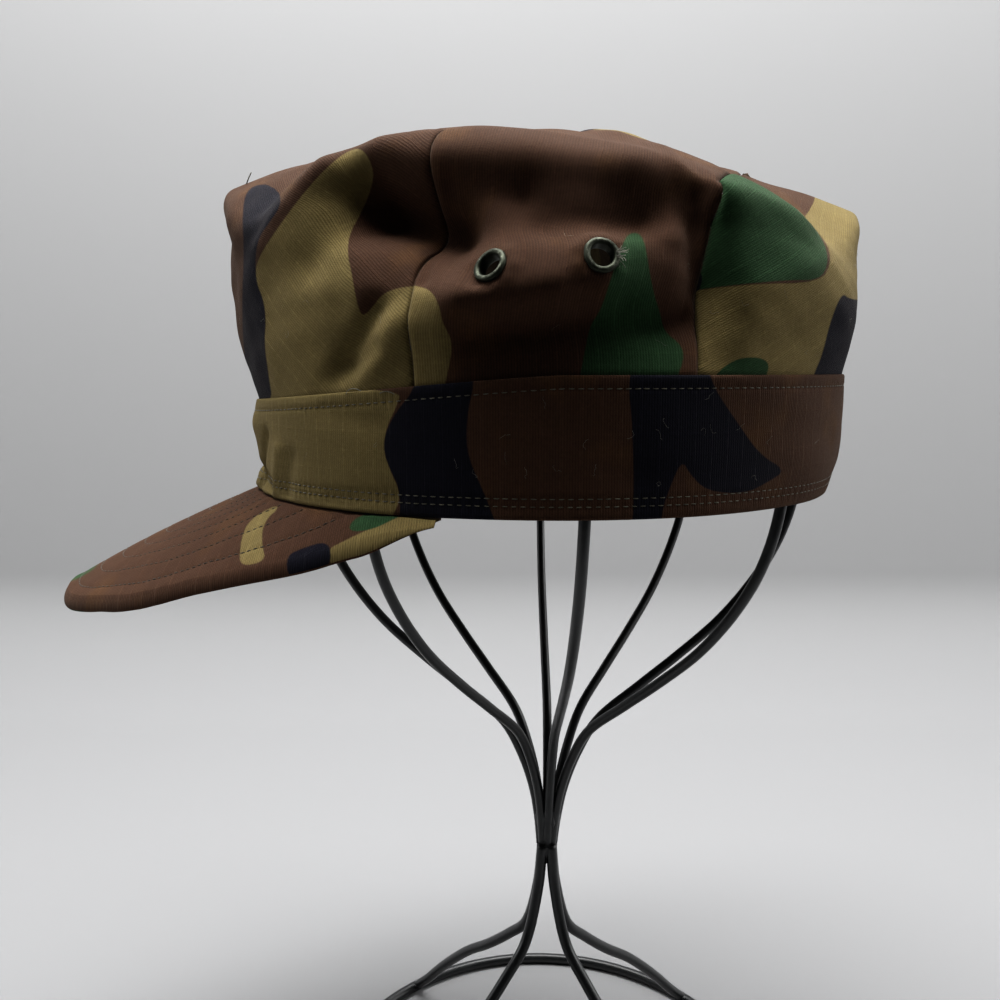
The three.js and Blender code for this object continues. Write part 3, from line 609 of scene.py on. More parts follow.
VISOR_LEFT = {
    "khaki": [
        [(277, 505), (264, 511), (252, 519), (244, 530), (240, 548), (240, 567), (266, 561), (262, 546),
         (262, 530), (268, 517), (277, 510)],
        [(328, 549), (340, 543), (362, 532), (400, 516), (440, 505), (450, 520), (440, 535), (345, 562),
         (330, 566)],
    ],
    "green": [
        [(60, 585), (72, 562), (98, 545), (110, 548), (98, 566), (80, 578)],
        [(348, 532), (352, 520), (370, 512), (400, 506), (412, 510), (398, 517), (372, 530)],
    ],
    "dark": [
        [(286, 556), (300, 549), (328, 540), (332, 560), (322, 572), (288, 580)],
    ],
}
VISOR_RIGHT = {
    "khaki": [
        [(120, 540), (160, 545), (190, 565), (180, 600), (110, 610), (96, 575)],
        [(330, 520), (370, 516), (420, 510), (440, 530), (340, 560)],
    ],
    "green": [
        [(230, 520), (262, 515), (272, 535), (252, 560), (262, 590), (232, 595), (222, 555)],
    ],
}
print("the right side and the top have patches of their own")

# %% [markdown]
# ## Sewing the crown
# The panel from ear to ear is one piece of cloth with its threads upright. The front and rear
# panels are cut on the bias, so their threads run aslant. A second set of numbers on each point
# keeps its place along and across the threads in millimetres, for the weave. The lower hem runs
# down behind the band's folded edge, as it is sewn.

# %% Panels of the crown
WALL_ROWS = 66
HEM_DEPTH = 7.0
SEAM_SINK = 0.55
SEAM_ROUND = 0.8
HOLE_REACH = 3.9
EYELETS = [("front", 78.5, 0.41), ("rear", 95.5, 0.45)]
# A fold under the left front eyelet turns it up and forward
TURNED_FACING = {78.5: (-0.55, -0.68, 0.48)}


def eyelet_place(turn, share):
    """Centre and facing of an eyelet on the crown"""
    turns = turn + np.array([[-0.6, 0, 0.6]] * 3)
    shares = 0.5 * share + np.array([[-0.006] * 3, [0] * 3, [0.006] * 3])
    patch = smooth_crown(turns, shares)
    outward = patch - np.array([0, 0, BAND_TOP + 0.25 * CROWN_RISE])
    outward /= np.linalg.norm(outward, axis=-1, keepdims=True)
    patch = patch + outward * fold_push(patch, FOLDS)[..., None]
    side = np.sign(turn)
    facing = np.cross(patch[1, 2] - patch[1, 0], patch[2, 1] - patch[0, 1]) * side
    facing = np.array(TURNED_FACING.get(turn, facing))
    return patch[1, 1], facing / np.linalg.norm(facing)


def press_flat(points, centre, facing):
    """Presses cloth flat round an eyelet and gathers it slightly outside the rim"""
    away = points - centre
    height = away @ facing
    radius = np.linalg.norm(away - height[..., None] * facing, axis=-1)
    near = (1 - smooth(4.4, 8.5, radius)) * (np.abs(height) < 12)
    angle = np.arctan2(away[..., 0], away[..., 2])
    pucker = 0.16 * np.sin(9 * angle) * np.exp(-((radius - 6.4) / 1.5) ** 2)
    return points + facing * (pucker - near * height)[..., None], radius


def cloth_piece(name, points, hem_rows, grain, chart_fields, seams=(True, True), holes=()):
    """Turns a grid of outer points into a closed piece of cloth with its print and its grain"""
    normal = grid_normals(points)
    across = lengths_along(points, 1)
    width = across[:, -1:]
    if seams[0]:
        edge = np.minimum(across, 1e9)
        points = points - normal * (SEAM_SINK * np.exp(-(edge / SEAM_ROUND) ** 2))[..., None]
    if seams[1]:
        edge = width - across
        points = points - normal * (SEAM_SINK * np.exp(-(edge / SEAM_ROUND) ** 2))[..., None]
    radius = np.full(points.shape[:2], 1e9)
    for centre, facing in holes:
        points, distance = press_flat(points, centre, facing)
        radius = np.minimum(radius, distance)
    cell = (radius[1:, 1:] + radius[:-1, :-1] + radius[1:, :-1] + radius[:-1, 1:]) / 4
    hole = cell < HOLE_REACH
    normal = grid_normals(points)
    inner = points - normal * CROWN_WALL
    rows, columns = radius.shape
    faces = shell_faces(rows, columns, hole)
    both = np.concatenate([points.reshape(-1, 3), inner.reshape(-1, 3)])
    angle = np.radians(grain)
    height = lengths_along(points, 0) - hem_rows
    middle = across - width / 2
    threads = np.stack([
        middle * np.cos(angle) + height * np.sin(angle),
        height * np.cos(angle) - middle * np.sin(angle),
        np.zeros_like(middle),
    ], -1)
    fields = chart_fields(points)
    flat = {
        "threads": np.concatenate([threads.reshape(-1, 3)] * 2),
        "print": np.concatenate([fields.reshape(-1, 3), fields.reshape(-1, 3) - 0.0]),
        "reverse": np.concatenate([np.zeros((rows * columns, 3)), np.ones((rows * columns, 3))]),
    }
    piece = make_mesh(name, both, faces, flat)
    used = np.unique(np.array([i for face in faces for i in face]))
    drop_loose(piece)
    return piece


def drop_loose(piece):
    """Deletes the points that no face uses, inside the punched holes"""
    shape = bmesh.new()
    shape.from_mesh(piece.data)
    loose = [vert for vert in shape.verts if not vert.link_faces]
    bmesh.ops.delete(shape, geom=loose, context="VERTS")
    shape.to_mesh(piece.data)
    shape.free()


def hem_down(points, rows):
    """Adds rows under the foot that run down behind the band's edge"""
    foot = points[0]
    down = np.linspace(HEM_DEPTH, 0, rows, endpoint=False)[:, None, None]
    tuck = smooth(0, 2.5, down) * 0.6
    inward = foot * np.array([1, 1, 0])
    inward = inward / np.linalg.norm(inward, axis=-1, keepdims=True)
    hem = foot - np.array([0, 0, 1]) * down - inward * tuck
    return np.concatenate([hem, points])


def crown_fields(chart, side, behind_left=None):
    def fields(points):
        on_wall = print_fields(on_board(points, side), chart)
        if behind_left is not None:
            sliver = print_fields(on_board(points, 1), behind_left)
            on_wall = mix(on_wall, sliver, (points[..., 1:2] < 0) * (points[..., :1] > 60))
        plan = points[..., :2]
        on_top = 3 * print_fields(plan, TOP)
        rim = rim_reach(np.degrees(np.arctan2(-points[..., 1], -points[..., 0])))
        inward = rim - np.hypot(points[..., 0], points[..., 1])
        high = points[..., 2] > BAND_TOP + 0.5 * CROWN_RISE
        over = smooth(9.0, 20.0, inward) * high
        return mix(on_wall, on_top, over[..., None])
    return fields


def corner_panel(name, ahead, behind, columns, top_rows, side, grain, chart, behind_left=None):
    climb = np.concatenate([np.linspace(0, 1, WALL_ROWS), 1 + 0.985 * np.linspace(0, 1, top_rows)[1:]])
    u = np.linspace(0, 1, columns)
    if side < 0:
        u = u[::-1]
    swing = side * REAR_SWING * (behind == REAR_MIDDLE)
    turn, share = between_seams(u[None, :], climb[:, None], ahead, behind, swing)
    points = crown_point(side * turn, share)
    points = hem_down(points, 7)
    hem = HEM_DEPTH
    return cloth_piece(name, points, hem, grain, crown_fields(chart, side, behind_left))


crown_pieces = [
    corner_panel("front_left_cloth", FRONT_MIDDLE, FRONT_SEAM, 110, 42, 1, 48, FRONT_PANEL),
    corner_panel("front_right_cloth", FRONT_MIDDLE, FRONT_SEAM, 110, 42, -1, 48, RIGHT_SIDE),
    corner_panel("rear_left_cloth", REAR_SEAM, REAR_MIDDLE, 100, 32, 1, -58, REAR_PANEL),
    corner_panel("rear_right_cloth", REAR_SEAM, REAR_MIDDLE, 100, 32, -1, -58, RIGHT_SIDE, REAR_SLIVER),
]
for piece in crown_pieces:
    print(piece.name, len(piece.data.polygons), "faces")

# %% The panel from ear to ear
TOP_ROWS = 60


def centre_panel():
    climb = np.concatenate([np.linspace(0, 1, WALL_ROWS), 1 + np.linspace(0, 1, TOP_ROWS)[1:]])
    u = np.linspace(0, 1, 84)
    turn, share = between_seams(u[None, :], climb[:, None], FRONT_SEAM, REAR_SEAM)
    left = hem_down(crown_point(turn, share), 7)
    right = hem_down(crown_point(-turn, share), 7)
    points = np.concatenate([left, right[-2::-1]])
    holes = [eyelet_place(side * turn, share) for side in (1, -1) for _, turn, share in EYELETS]

    def fields(places):
        first = crown_fields(CENTRE_PANEL, 1)(places)
        second = crown_fields(RIGHT_SIDE, -1)(places)
        return mix(first, second, smooth(-12, 12, places[..., 1])[..., None])

    return cloth_piece("centre_cloth", points, HEM_DEPTH, 0, fields, holes=holes)


crown_centre = centre_panel()
crown_pieces.append(crown_centre)
print(crown_centre.name, len(crown_centre.data.polygons), "faces with four eyelet holes")

# %% [markdown]
# ## The band
# The band is one long strip folded in two, so its upper and lower edges are rounded folds. Its
# section is drawn once, from the inside over the lower fold and up the outside to the upper fold,
# and swept round the head. Rows of stitching press shallow channels into it, and the cloth puckers
# softly between the stitches.

# %% Section and sweep of the band
BAND_STEPS = 720
TOP_STITCH = 3.4
BOTTOM_STITCHES = (3.6, 5.6)
CHANNEL = 0.22


def band_outside(turn, level):
    """Reach of the band's outer side at a level from 0 at its lower edge to 1 at its upper edge"""
    rear = np.maximum(0, -np.cos(np.radians(turn))) ** 2
    return band_reach(turn) - BAND_TUCK * rear * (1 - level) ** 3


# Creases of the band: turn and level at the start and the end, width in millimetres, depth
BAND_CREASES = [
    (-12, 0.33, 12, 0.31, 3.2, 3.4),
    (12, 0.31, 25, 0.06, 3.0, 1.5),
    (-16, 0.72, 16, 0.74, 6.0, -1.5),
    (-14, 0.02, 14, 0.02, 3.0, -1.0),
    (24, 0.62, 15, -0.05, 3.2, 1.5),
    (31, 0.50, 28, -0.02, 3.0, -0.7),
    (36, 0.42, 34, 0.05, 3.4, 0.8),
    (20, 0.30, 27, 0.12, 2.6, 0.7),
    (58, 0.72, 47, 0.86, 4.0, 0.4),
    (48, 0.10, 62, 0.16, 3.4, 0.35),
    (100, 0.30, 118, 0.24, 5.0, 0.3),
    (132, 0.60, 150, 0.52, 5.0, 0.5),
    (-22, 0.60, -15, 0.00, 3.2, 1.2),
    (-34, 0.45, -31, 0.05, 3.2, 0.7),
    (-90, 0.40, -112, 0.32, 5.0, 0.4),
    (164, 0.30, 172, 0.70, 4.0, -0.5),
]


def band_push(turn, level, height):
    push = 0.30 * np.sin(np.radians(turn * 5) + 1) * np.sin(3 * level + np.radians(turn * 3))
    push = push + 0.14 * np.sin(np.radians(turn * 13) + 4 * level)
    for turn_a, level_a, turn_b, level_b, width, depth in BAND_CREASES:
        ax, ay = turn_a * 1.6, level_a * 36
        bx, by = turn_b * 1.6, level_b * 36
        px, py = turn * 1.6, level * 36
        along = (px - ax) * (bx - ax) + (py - ay) * (by - ay)
        t = np.clip(along / ((bx - ax) ** 2 + (by - ay) ** 2), 0, 1)
        distance = np.hypot(px - mix(ax, bx, t), py - mix(ay, by, t))
        push = push - depth * np.exp(-(distance / width) ** 2)
    tall = height * (1 - level)
    low = height * level
    for row in (tall - TOP_STITCH, low - BOTTOM_STITCHES[0], low - BOTTOM_STITCHES[1]):
        push = push - CHANNEL * np.exp(-(row / 0.55) ** 2)
        pucker = np.sin(np.radians(turn) * 210 + 2 * np.sin(np.radians(turn * 17)))
        push = push + 0.07 * pucker * np.exp(-((row + 0.6) / 1.8) ** 2)
    return push * smooth(-0.01, 0.06, level) * smooth(1.01, 0.94, level)


def band_surface(turn, level):
    """A point of the band's outer side with its creases, in millimetres"""
    turn, level = np.broadcast_arrays(np.asarray(turn, float), np.asarray(level, float))
    wrapped = (turn + 180) % 360 - 180
    height = band_top(turn) - BAND_BOTTOM
    reach = band_outside(turn, level) + band_push(wrapped, level, height)
    return spot(turn, reach, mix(BAND_BOTTOM, band_top(turn), level))


def band_section():
    """The section as pairs: a level along the height and a share of the wall from the outside"""
    rounding = [(0.5 - 0.5 * np.cos(a), np.sin(a)) for a in np.linspace(0, np.pi, 7)[1:-1]]
    outer = [(level, 0.0, 0.0) for level in np.linspace(0.025, 0.975, 44)]
    upper = [(0.975, wall, 0.9 * bulge) for wall, bulge in rounding]
    inner = [(level, 1.0, 0.0) for level in np.linspace(0.975, 0.025, 14)]
    lower = [(0.025, 1 - wall, -0.9 * bulge) for wall, bulge in rounding]
    return np.array(outer + upper + inner + lower)


def make_band():
    rows = band_section()
    turns = np.linspace(0, 360, BAND_STEPS, endpoint=False)
    level, wall, bulge = (rows[:, k][:, None] for k in range(3))
    outside = band_surface(turns[None, :], level)
    thick = mix(1.15, BAND_WALL, smooth(0.80, 0.70, level))
    inward = outside * np.array([1, 1, 0])
    inward = inward / np.linalg.norm(inward, axis=-1, keepdims=True)
    points = outside - inward * (wall * thick)[..., None] + np.array([0, 0, 1]) * bulge[..., None]
    count = len(rows)
    faces = []
    for i in range(count):
        j = (i + 1) % count
        for k in range(BAND_STEPS):
            n = (k + 1) % BAND_STEPS
            faces.append((i * BAND_STEPS + k, i * BAND_STEPS + n, j * BAND_STEPS + n, j * BAND_STEPS + k))
    around = np.radians(turns)[None, :] * (HALF_LENGTH + HALF_WIDTH) / 2
    threads = np.stack(np.broadcast_arrays(around, points[..., 2], wall), -1)
    left = print_fields(on_board(points, 1), BAND_LEFT)
    right = print_fields(on_board(points, -1), BAND_RIGHT)
    fields = np.where(points[..., 1:2] < 0, left, right)
    reverse = np.broadcast_to(wall, points.shape[:2])[..., None] * np.ones(3)
    flat = {
        "threads": threads.reshape(-1, 3),
        "print": fields.reshape(-1, 3),
        "reverse": reverse.reshape(-1, 3),
    }
    return make_mesh("band_cloth_strip", points.reshape(-1, 3), faces, flat)


band_piece = make_band()
print(band_piece.name, len(band_piece.data.polygons), "faces")

# %% [markdown]
# ## The visor
# The visor is a board between two layers of cloth. It slopes down from the band, arches across,
# and ends in a rounded rim with a row of stitching inside it and more rows that follow the rim.
# The outline is a table: how long the visor is at each turn, as a share of its full length.

# %% Outline of the visor
VISOR_LENGTH = 68.0
VISOR_TURN = 69.0
VISOR_THICKNESS = 4.4
VISOR_DROP = 33.5
VISOR_BEND = 0.15
VISOR_ARCH = 2.2
VISOR_END = 0.8
VISOR_END_THICKNESS = 0.5
VISOR_SIDE_DROOP = 2.0
VISOR_OUTLINE = [(0, 1), (0.113, 0.93), (0.23, 0.70), (0.44, 0.35), (0.74, 0.095), (1, 0.015)]
VISOR_ROWS = (4.6, 11.6, 18.6, 25.6, 32.6, 39.6, 46.6, 53.6)


def visor_length(turn):
    table = read_table(VISOR_OUTLINE, np.abs(turn) / VISOR_TURN, 1)
    return np.maximum(VISOR_END, table * VISOR_LENGTH)


def visor_surface(turn, out):
    """The upper side. out runs from 0 under the band to 1 at the edge."""
    turn, out = np.broadcast_arrays(np.asarray(turn, float), np.asarray(out, float))
    reach = band_reach(turn) - BAND_WALL + (visor_length(turn) + BAND_WALL) * out
    beyond = np.maximum(0, reach - band_reach(turn))
    across = reach * np.sin(np.radians(turn)) / HALF_WIDTH
    run = beyond / VISOR_LENGTH
    drop = VISOR_DROP * run * (1 - VISOR_BEND + VISOR_BEND * run) * (1 + VISOR_ARCH * across ** 2)
    drop = drop + VISOR_SIDE_DROOP * out ** 2 * np.exp(-((np.abs(turn) - 49) / 11) ** 2)
    return spot(turn, reach, BAND_BOTTOM - SEAM_GAP - drop)


def visor_relief(turn, out):
    """Channels of the stitched rows, the stiffer rim and soft dents"""
    inside = (1 - out) * visor_length(turn)
    relief = np.zeros(inside.shape)
    for row in VISOR_ROWS:
        relief = relief - 0.20 * np.exp(-((inside - row) / 0.6) ** 2)
    relief = relief + 0.30 * smooth(VISOR_ROWS[0], 1.0, inside)
    relief = relief + 0.35 * np.sin(np.radians(turn * 6) + 0.06 * inside) * smooth(0.02, 0.3, out)
    relief = relief + 0.07 * np.sin(np.radians(turn * 90) + np.sin(np.radians(turn * 31)))
    return relief * smooth(0.0, 0.08, out) * smooth(VISOR_TURN, VISOR_TURN - 8, np.abs(turn))


def make_visor():
    turns = VISOR_TURN * np.sin(np.linspace(-np.pi / 2, np.pi / 2, 300))
    outs = 1 - (1 - np.linspace(0, 1, 90)) ** 1.25
    outs = outs * 0.985
    turn, out = turns[:, None], outs[None, :]
    upper = visor_surface(turn, out)
    down = np.array([0, 0, -1.0])
    thickness = mix(VISOR_THICKNESS, VISOR_END_THICKNESS, smooth(56, 68.5, np.abs(turns)))
    relief = visor_relief(turn, out)
    edge = visor_surface(turn, np.ones((1, 1)))[:, 0]
    outward = edge - visor_surface(turn, np.array([[0.97]]))[:, 0]
    outward = outward / np.linalg.norm(outward, axis=-1, keepdims=True)
    angles = np.linspace(0, np.pi, 11)[1:-1]
    middle = upper[:, -1] + down * (thickness / 2)[:, None]
    radius = (thickness / 2)[:, None, None]
    roll = np.sin(angles)[None, :, None] * outward[:, None] * 0.8 - np.cos(angles)[None, :, None] * down
    rim = middle[:, None] + roll * radius
    lower = upper[:, ::-2] + down * thickness[:, None, None]
    flare = 0.5 * relief[:, ::-2]
    top = upper + np.array([0, 0, 1]) * relief[..., None]
    lower = lower - np.array([0, 0, 1]) * flare[..., None]
    sections = np.concatenate([top, rim, lower], 1)
    count = sections.shape[1]
    faces = []
    for s in range(len(turns) - 1):
        for i in range(count):
            j = (i + 1) % count
            faces.append((s * count + i, s * count + j, (s + 1) * count + j, (s + 1) * count + i))
    faces.append(tuple(range(count))[::-1])
    faces.append(tuple((len(turns) - 1) * count + i for i in range(count)))
    threads = sections * np.array([1, 1, 0])
    angle = np.radians(8)
    turned = threads.copy()
    turned[..., 0] = threads[..., 0] * np.cos(angle) - threads[..., 1] * np.sin(angle)
    turned[..., 1] = threads[..., 0] * np.sin(angle) + threads[..., 1] * np.cos(angle)
    left = print_fields(on_board(sections, 1), VISOR_LEFT)
    right = print_fields(on_board(sections, -1), VISOR_RIGHT)
    fields = mix(left, right, smooth(-4, 4, sections[..., 1])[..., None])
    beneath = np.zeros(sections.shape[:2])
    beneath[:, len(outs) + 6:] = 1
    under = 3 * print_fields(sections[..., :2] + np.array([120.0, 0]), TOP)
    fields = mix(fields, under, beneath[..., None])
    flat = {
        "threads": turned.reshape(-1, 3),
        "print": fields.reshape(-1, 3),
        "reverse": np.zeros((len(turns) * count, 3)),
    }
    return make_mesh("visor_cloth_cover", sections.reshape(-1, 3), faces, flat)


visor_piece = make_visor()
print(visor_piece.name, len(visor_piece.data.polygons), "faces")

# %% The visor's seam allowance, turned up inside the band
ALLOWANCE_HEIGHT = 9.0
ALLOWANCE_WALL = 0.8


def make_allowance():
    turns = np.linspace(-VISOR_TURN, VISOR_TURN, 260)[:, None]
    levels = np.linspace(-1.0, ALLOWANCE_HEIGHT, 9)[None, :]
    wave = 0.25 * np.sin(np.radians(turns * 23)) * levels / ALLOWANCE_HEIGHT
    reach = band_reach(turns) - BAND_WALL - 0.35 - np.maximum(0, wave)
    outer = spot(turns, reach + 0 * levels, BAND_BOTTOM + levels + 0 * turns)
    inner = spot(turns, reach - ALLOWANCE_WALL + 0 * levels, BAND_BOTTOM + levels + 0 * turns)
    section = np.concatenate([outer, inner[:, ::-1]], 1)
    count = section.shape[1]
    faces = []
    for s in range(len(turns) - 1):
        for i in range(count):
            j = (i + 1) % count
            faces.append((s * count + i, (s + 1) * count + i, (s + 1) * count + j, s * count + j))
    faces.append(tuple(range(count)))
    faces.append(tuple((len(turns) - 1) * count + i for i in range(count))[::-1])
    flat = section.reshape(-1, 3)
    fields = {"threads": flat, "print": np.full_like(flat, -60.0), "reverse": np.ones_like(flat)}
    return make_mesh("visor_allowance", flat, faces, fields)


allowance_piece = make_allowance()
print(allowance_piece.name, len(allowance_piece.data.polygons), "faces")

# %% [markdown]
# ## Eyelets
# Each vent eyelet is a thin metal tube that was rolled over on both sides of the cloth. Turning a
# profile round an axis gives the ring, and a slight wobble keeps it from looking machined. It
# stands in the cloth, square to it, so the front one is seen much more aslant than the rear one.

# %% Rolled metal rings
EYELET_WIDTH = 9.4
EYELET_HOLE = 6.0
RING_SIDES = 72


def eyelet_profile():
    """Radius and height of the section, from the inner flange round the hole to the outer rim"""
    hole, rim = EYELET_HOLE / 2, EYELET_WIDTH / 2
    crest = [(mix(hole - 0.02, rim, 0.5 - 0.5 * np.cos(a)), 0.30 + 0.98 * np.sin(a) ** 0.8)
             for a in np.linspace(0.12, np.pi - 0.05, 18)]
    inner_flange = [(rim - 0.5, -1.75), (rim - 0.4, -2.0), (rim - 0.6, -2.2), (hole + 0.5, -2.3)]
    throat = [(hole + 0.12, -2.1), (hole, -1.6), (hole - 0.05, -0.6), (hole, 0.1)]
    beneath = [(rim - 0.12, 0.10), (hole + 0.7, 0.06), (hole + 0.45, -0.3), (hole + 0.45, -1.5)]
    return np.array(inner_flange + throat + crest + beneath)


def make_eyelet(name, turn, share):
    centre, facing = eyelet_place(turn, share)
    upright = np.array([0, 0, 1.0])
    across = np.cross(upright, facing)
    across /= np.linalg.norm(across)
    up = np.cross(facing, across)
    profile = eyelet_profile()
    count = len(profile)
    angle = np.linspace(0, 2 * np.pi, RING_SIDES, endpoint=False)[:, None]
    wobble = 1 + 0.012 * np.sin(3 * angle + turn) + 0.006 * np.sin(8 * angle)
    radius = profile[None, :, 0] * wobble
    height = profile[None, :, 1] + 0.05 * np.sin(2 * angle + turn)
    spoke = np.cos(angle)[..., None] * across + np.sin(angle)[..., None] * up
    points = centre + radius[..., None] * spoke + height[..., None] * facing
    faces = []
    for s in range(RING_SIDES):
        n = (s + 1) % RING_SIDES
        for i in range(count):
            j = (i + 1) % count
            faces.append((s * count + i, n * count + i, n * count + j, s * count + j))
    # Height and radius along the profile, from which the shader paints a highlight on the rim's crest
    ring_profile = np.broadcast_to(np.stack([height, radius, 0 * height], -1), points.shape)
    return make_mesh(name, points.reshape(-1, 3), faces, {"ring_profile": ring_profile.reshape(-1, 3)})


eyelet_pieces = {}
for side_name, side in (("left", 1), ("right", -1)):
    for place_name, turn, share in EYELETS:
        node = f"eyelet_{side_name}_{place_name}"
        eyelet_pieces[node] = make_eyelet(node + "_ring", side * turn, share)
print(len(eyelet_pieces), "eyelets")

# %% [markdown]
# ## The wire stand
# Four hoops cross at the top and make a cage of eight wires. They run together at the waist, where
# they are welded into a tight bundle, and four thicker legs spread from it to a ring on the floor.
# A wire is a circle swept along a smooth curve, with its frame carried along so that it never
# twists. The weld leaves small beads, and the coating over everything is black.

# %% Wires
STAND_AXIS = np.array([31.60, 1.00, 0.0]) - CAP_AXIS
CAGE_RADIUS = 84.0
CAGE_WIDEST = 243.0
CAGE_TOP = BAND_TOP + CROWN_PEAK - 1.6 - 0.75 - 1.73
CAGE_LEAN = 3.0
CAGE_TURN = 1.5
CAGE_WIRE = 3.3
WAIST_HEIGHT = 101.0
WAIST_RADIUS = 2.2
LEG_WIRE = 3.9
LEG_TURN = 41.0
BASE_RADIUS = 82.0
BASE_WIRE = 4.2
CAGE_PROFILE = [
    (0, 0), (0.065, 0.012), (0.15, 0.040), (0.24, 0.095), (0.325, 0.178), (0.415, 0.358), (0.49, 0.515),
    (0.585, 0.695), (0.685, 0.832), (0.785, 0.928), (0.89, 0.983), (1, 1),
]
LEG_PROFILE = [
    (0, 0), (0.17, 0.028), (0.36, 0.108), (0.455, 0.228), (0.56, 0.385), (0.655, 0.548), (0.80, 0.748),
    (0.92, 0.893), (1, 1),
]


def smooth_path(points, steps, closed=False):
    """A centripetal curve through points, as evenly spaced places"""
    points = np.asarray(points, float)
    if closed:
        points = np.concatenate([points[-1:], points, points[:2]])
    else:
        first = 2 * points[0] - points[1]
        last = 2 * points[-1] - points[-2]
        points = np.concatenate([[first], points, [last]])
    pieces = []
    for p0, p1, p2, p3 in zip(points, points[1:], points[2:], points[3:]):
        k1 = np.sqrt(np.linalg.norm(p1 - p0))
        k2 = k1 + np.sqrt(np.linalg.norm(p2 - p1))
        k3 = k2 + np.sqrt(np.linalg.norm(p3 - p2))
        t = np.linspace(k1, k2, 24, endpoint=False)[:, None]
        a1 = (k1 - t) / k1 * p0 + t / k1 * p1
        a2 = (k2 - t) / (k2 - k1) * p1 + (t - k1) / (k2 - k1) * p2
        a3 = (k3 - t) / (k3 - k2) * p2 + (t - k2) / (k3 - k2) * p3
        b1 = (k2 - t) / k2 * a1 + t / k2 * a2
        b2 = (k3 - t) / (k3 - k1) * a2 + (t - k1) / (k3 - k1) * a3
        pieces.append((k2 - t) / (k2 - k1) * b1 + (t - k1) / (k2 - k1) * b2)
    dense = np.concatenate(pieces + [points[-2:-1]])
    length = np.concatenate([[0], np.cumsum(np.linalg.norm(np.diff(dense, axis=0), axis=1))])
    wanted = np.linspace(0, length[-1], steps, endpoint=not closed)
    return np.stack([np.interp(wanted, length, dense[:, k]) for k in range(3)], -1)


def tube(path, radius, sides, closed=False):
    """Points and faces of a round tube along a path. radius may change along it."""
    path = np.asarray(path, float)
    if closed:
        tangent = np.roll(path, -1, axis=0) - np.roll(path, 1, axis=0)
    else:
        tangent = np.gradient(path, axis=0)
    tangent /= np.linalg.norm(tangent, axis=1, keepdims=True)
    start = np.cross(tangent[0], [0.31, 0.17, 0.94])
    frames = [start / np.linalg.norm(start)]
    for i in range(1, len(path)):
        carried = frames[-1] - tangent[i] * (frames[-1] @ tangent[i])
        frames.append(carried / np.linalg.norm(carried))
    across = np.array(frames)
    other = np.cross(tangent, across)
    angle = np.linspace(0, 2 * np.pi, sides, endpoint=False)
    if closed:
        turned = np.arctan2(across[-1] @ other[0], across[-1] @ across[0])
        angle = angle[None, :] - (turned * np.linspace(0, 1, len(path)))[:, None]
    else:
        angle = np.broadcast_to(angle, (len(path), sides))
    radius = np.broadcast_to(radius, len(path))
    ring = np.cos(angle)[..., None] * across[:, None] + np.sin(angle)[..., None] * other[:, None]
    points = path[:, None] + radius[:, None, None] * ring
    faces = []
    last = len(path) if closed else len(path) - 1
    for s in range(last):
        n = (s + 1) % len(path)
        for i in range(sides):
            j = (i + 1) % sides
            faces.append((s * sides + i, s * sides + j, n * sides + j, n * sides + i))
    if not closed:
        faces.append(tuple(range(sides))[::-1])
        faces.append(tuple((len(path) - 1) * sides + i for i in range(sides)))
    return points.reshape(-1, 3), faces


def join_parts(parts):
    """Joins lists of points and faces into one"""
    points, faces, start = [], [], 0
    for part_points, part_faces in parts:
        points.append(part_points)
        faces += [tuple(i + start for i in face) for face in part_faces]
        start += len(part_points)
    return np.concatenate(points), faces


def cage_place(turn, reach, height):
    lean = CAGE_LEAN * min(1, (height - WAIST_HEIGHT) / (CAGE_WIDEST - WAIST_HEIGHT))
    return spot(turn, reach, height) + STAND_AXIS + np.array([lean, 0, 0])


def hoop_path(turn):
    rise = CAGE_WIDEST - WAIST_HEIGHT
    half = [(mix(WAIST_RADIUS, CAGE_RADIUS, reach), WAIST_HEIGHT + rise * up) for up, reach in CAGE_PROFILE]
    for i in range(1, 7):
        angle = np.pi / 2 * i / 6
        half.append((CAGE_RADIUS * np.cos(angle), mix(CAGE_WIDEST, CAGE_TOP, np.sin(angle))))
    up = [cage_place(turn, reach, height) for reach, height in half]
    down = [cage_place(turn + 180, reach, height) for reach, height in half[-2::-1]]
    return smooth_path(up + down, 220)


def leg_path(turn):
    drop = WAIST_HEIGHT - BASE_WIRE / 2
    path = []
    for down, out in LEG_PROFILE:
        reach = mix(WAIST_RADIUS, BASE_RADIUS, out)
        path.append(spot(turn, reach, WAIST_HEIGHT - drop * down) + STAND_AXIS)
    return smooth_path(path, 80)


def bead(centre, size, seed):
    """A small uneven drop of weld metal"""
    generator = np.random.default_rng(seed)
    up = np.linspace(0, np.pi, 9)[1:-1]
    around = np.linspace(0, 2 * np.pi, 12, endpoint=False)
    rough = 1 + 0.10 * generator.standard_normal((len(up), len(around)))
    x = np.sin(up)[:, None] * np.cos(around) * rough
    y = np.sin(up)[:, None] * np.sin(around) * rough
    z = np.cos(up)[:, None] * np.ones(len(around))
    ring = np.stack([x, y, z], -1).reshape(-1, 3)
    points = np.concatenate([ring, [[0, 0, 1], [0, 0, -1]]]) * np.array(size) + np.array(centre)
    n = len(around)
    faces = []
    for s in range(len(up) - 1):
        for i in range(n):
            j = (i + 1) % n
            faces.append((s * n + i, (s + 1) * n + i, (s + 1) * n + j, s * n + j))
    top, bottom = len(ring), len(ring) + 1
    faces += [(top, i, (i + 1) % n) for i in range(n)]
    faces += [(bottom, len(ring) - n + (i + 1) % n, len(ring) - n + i) for i in range(n)]
    return points, faces


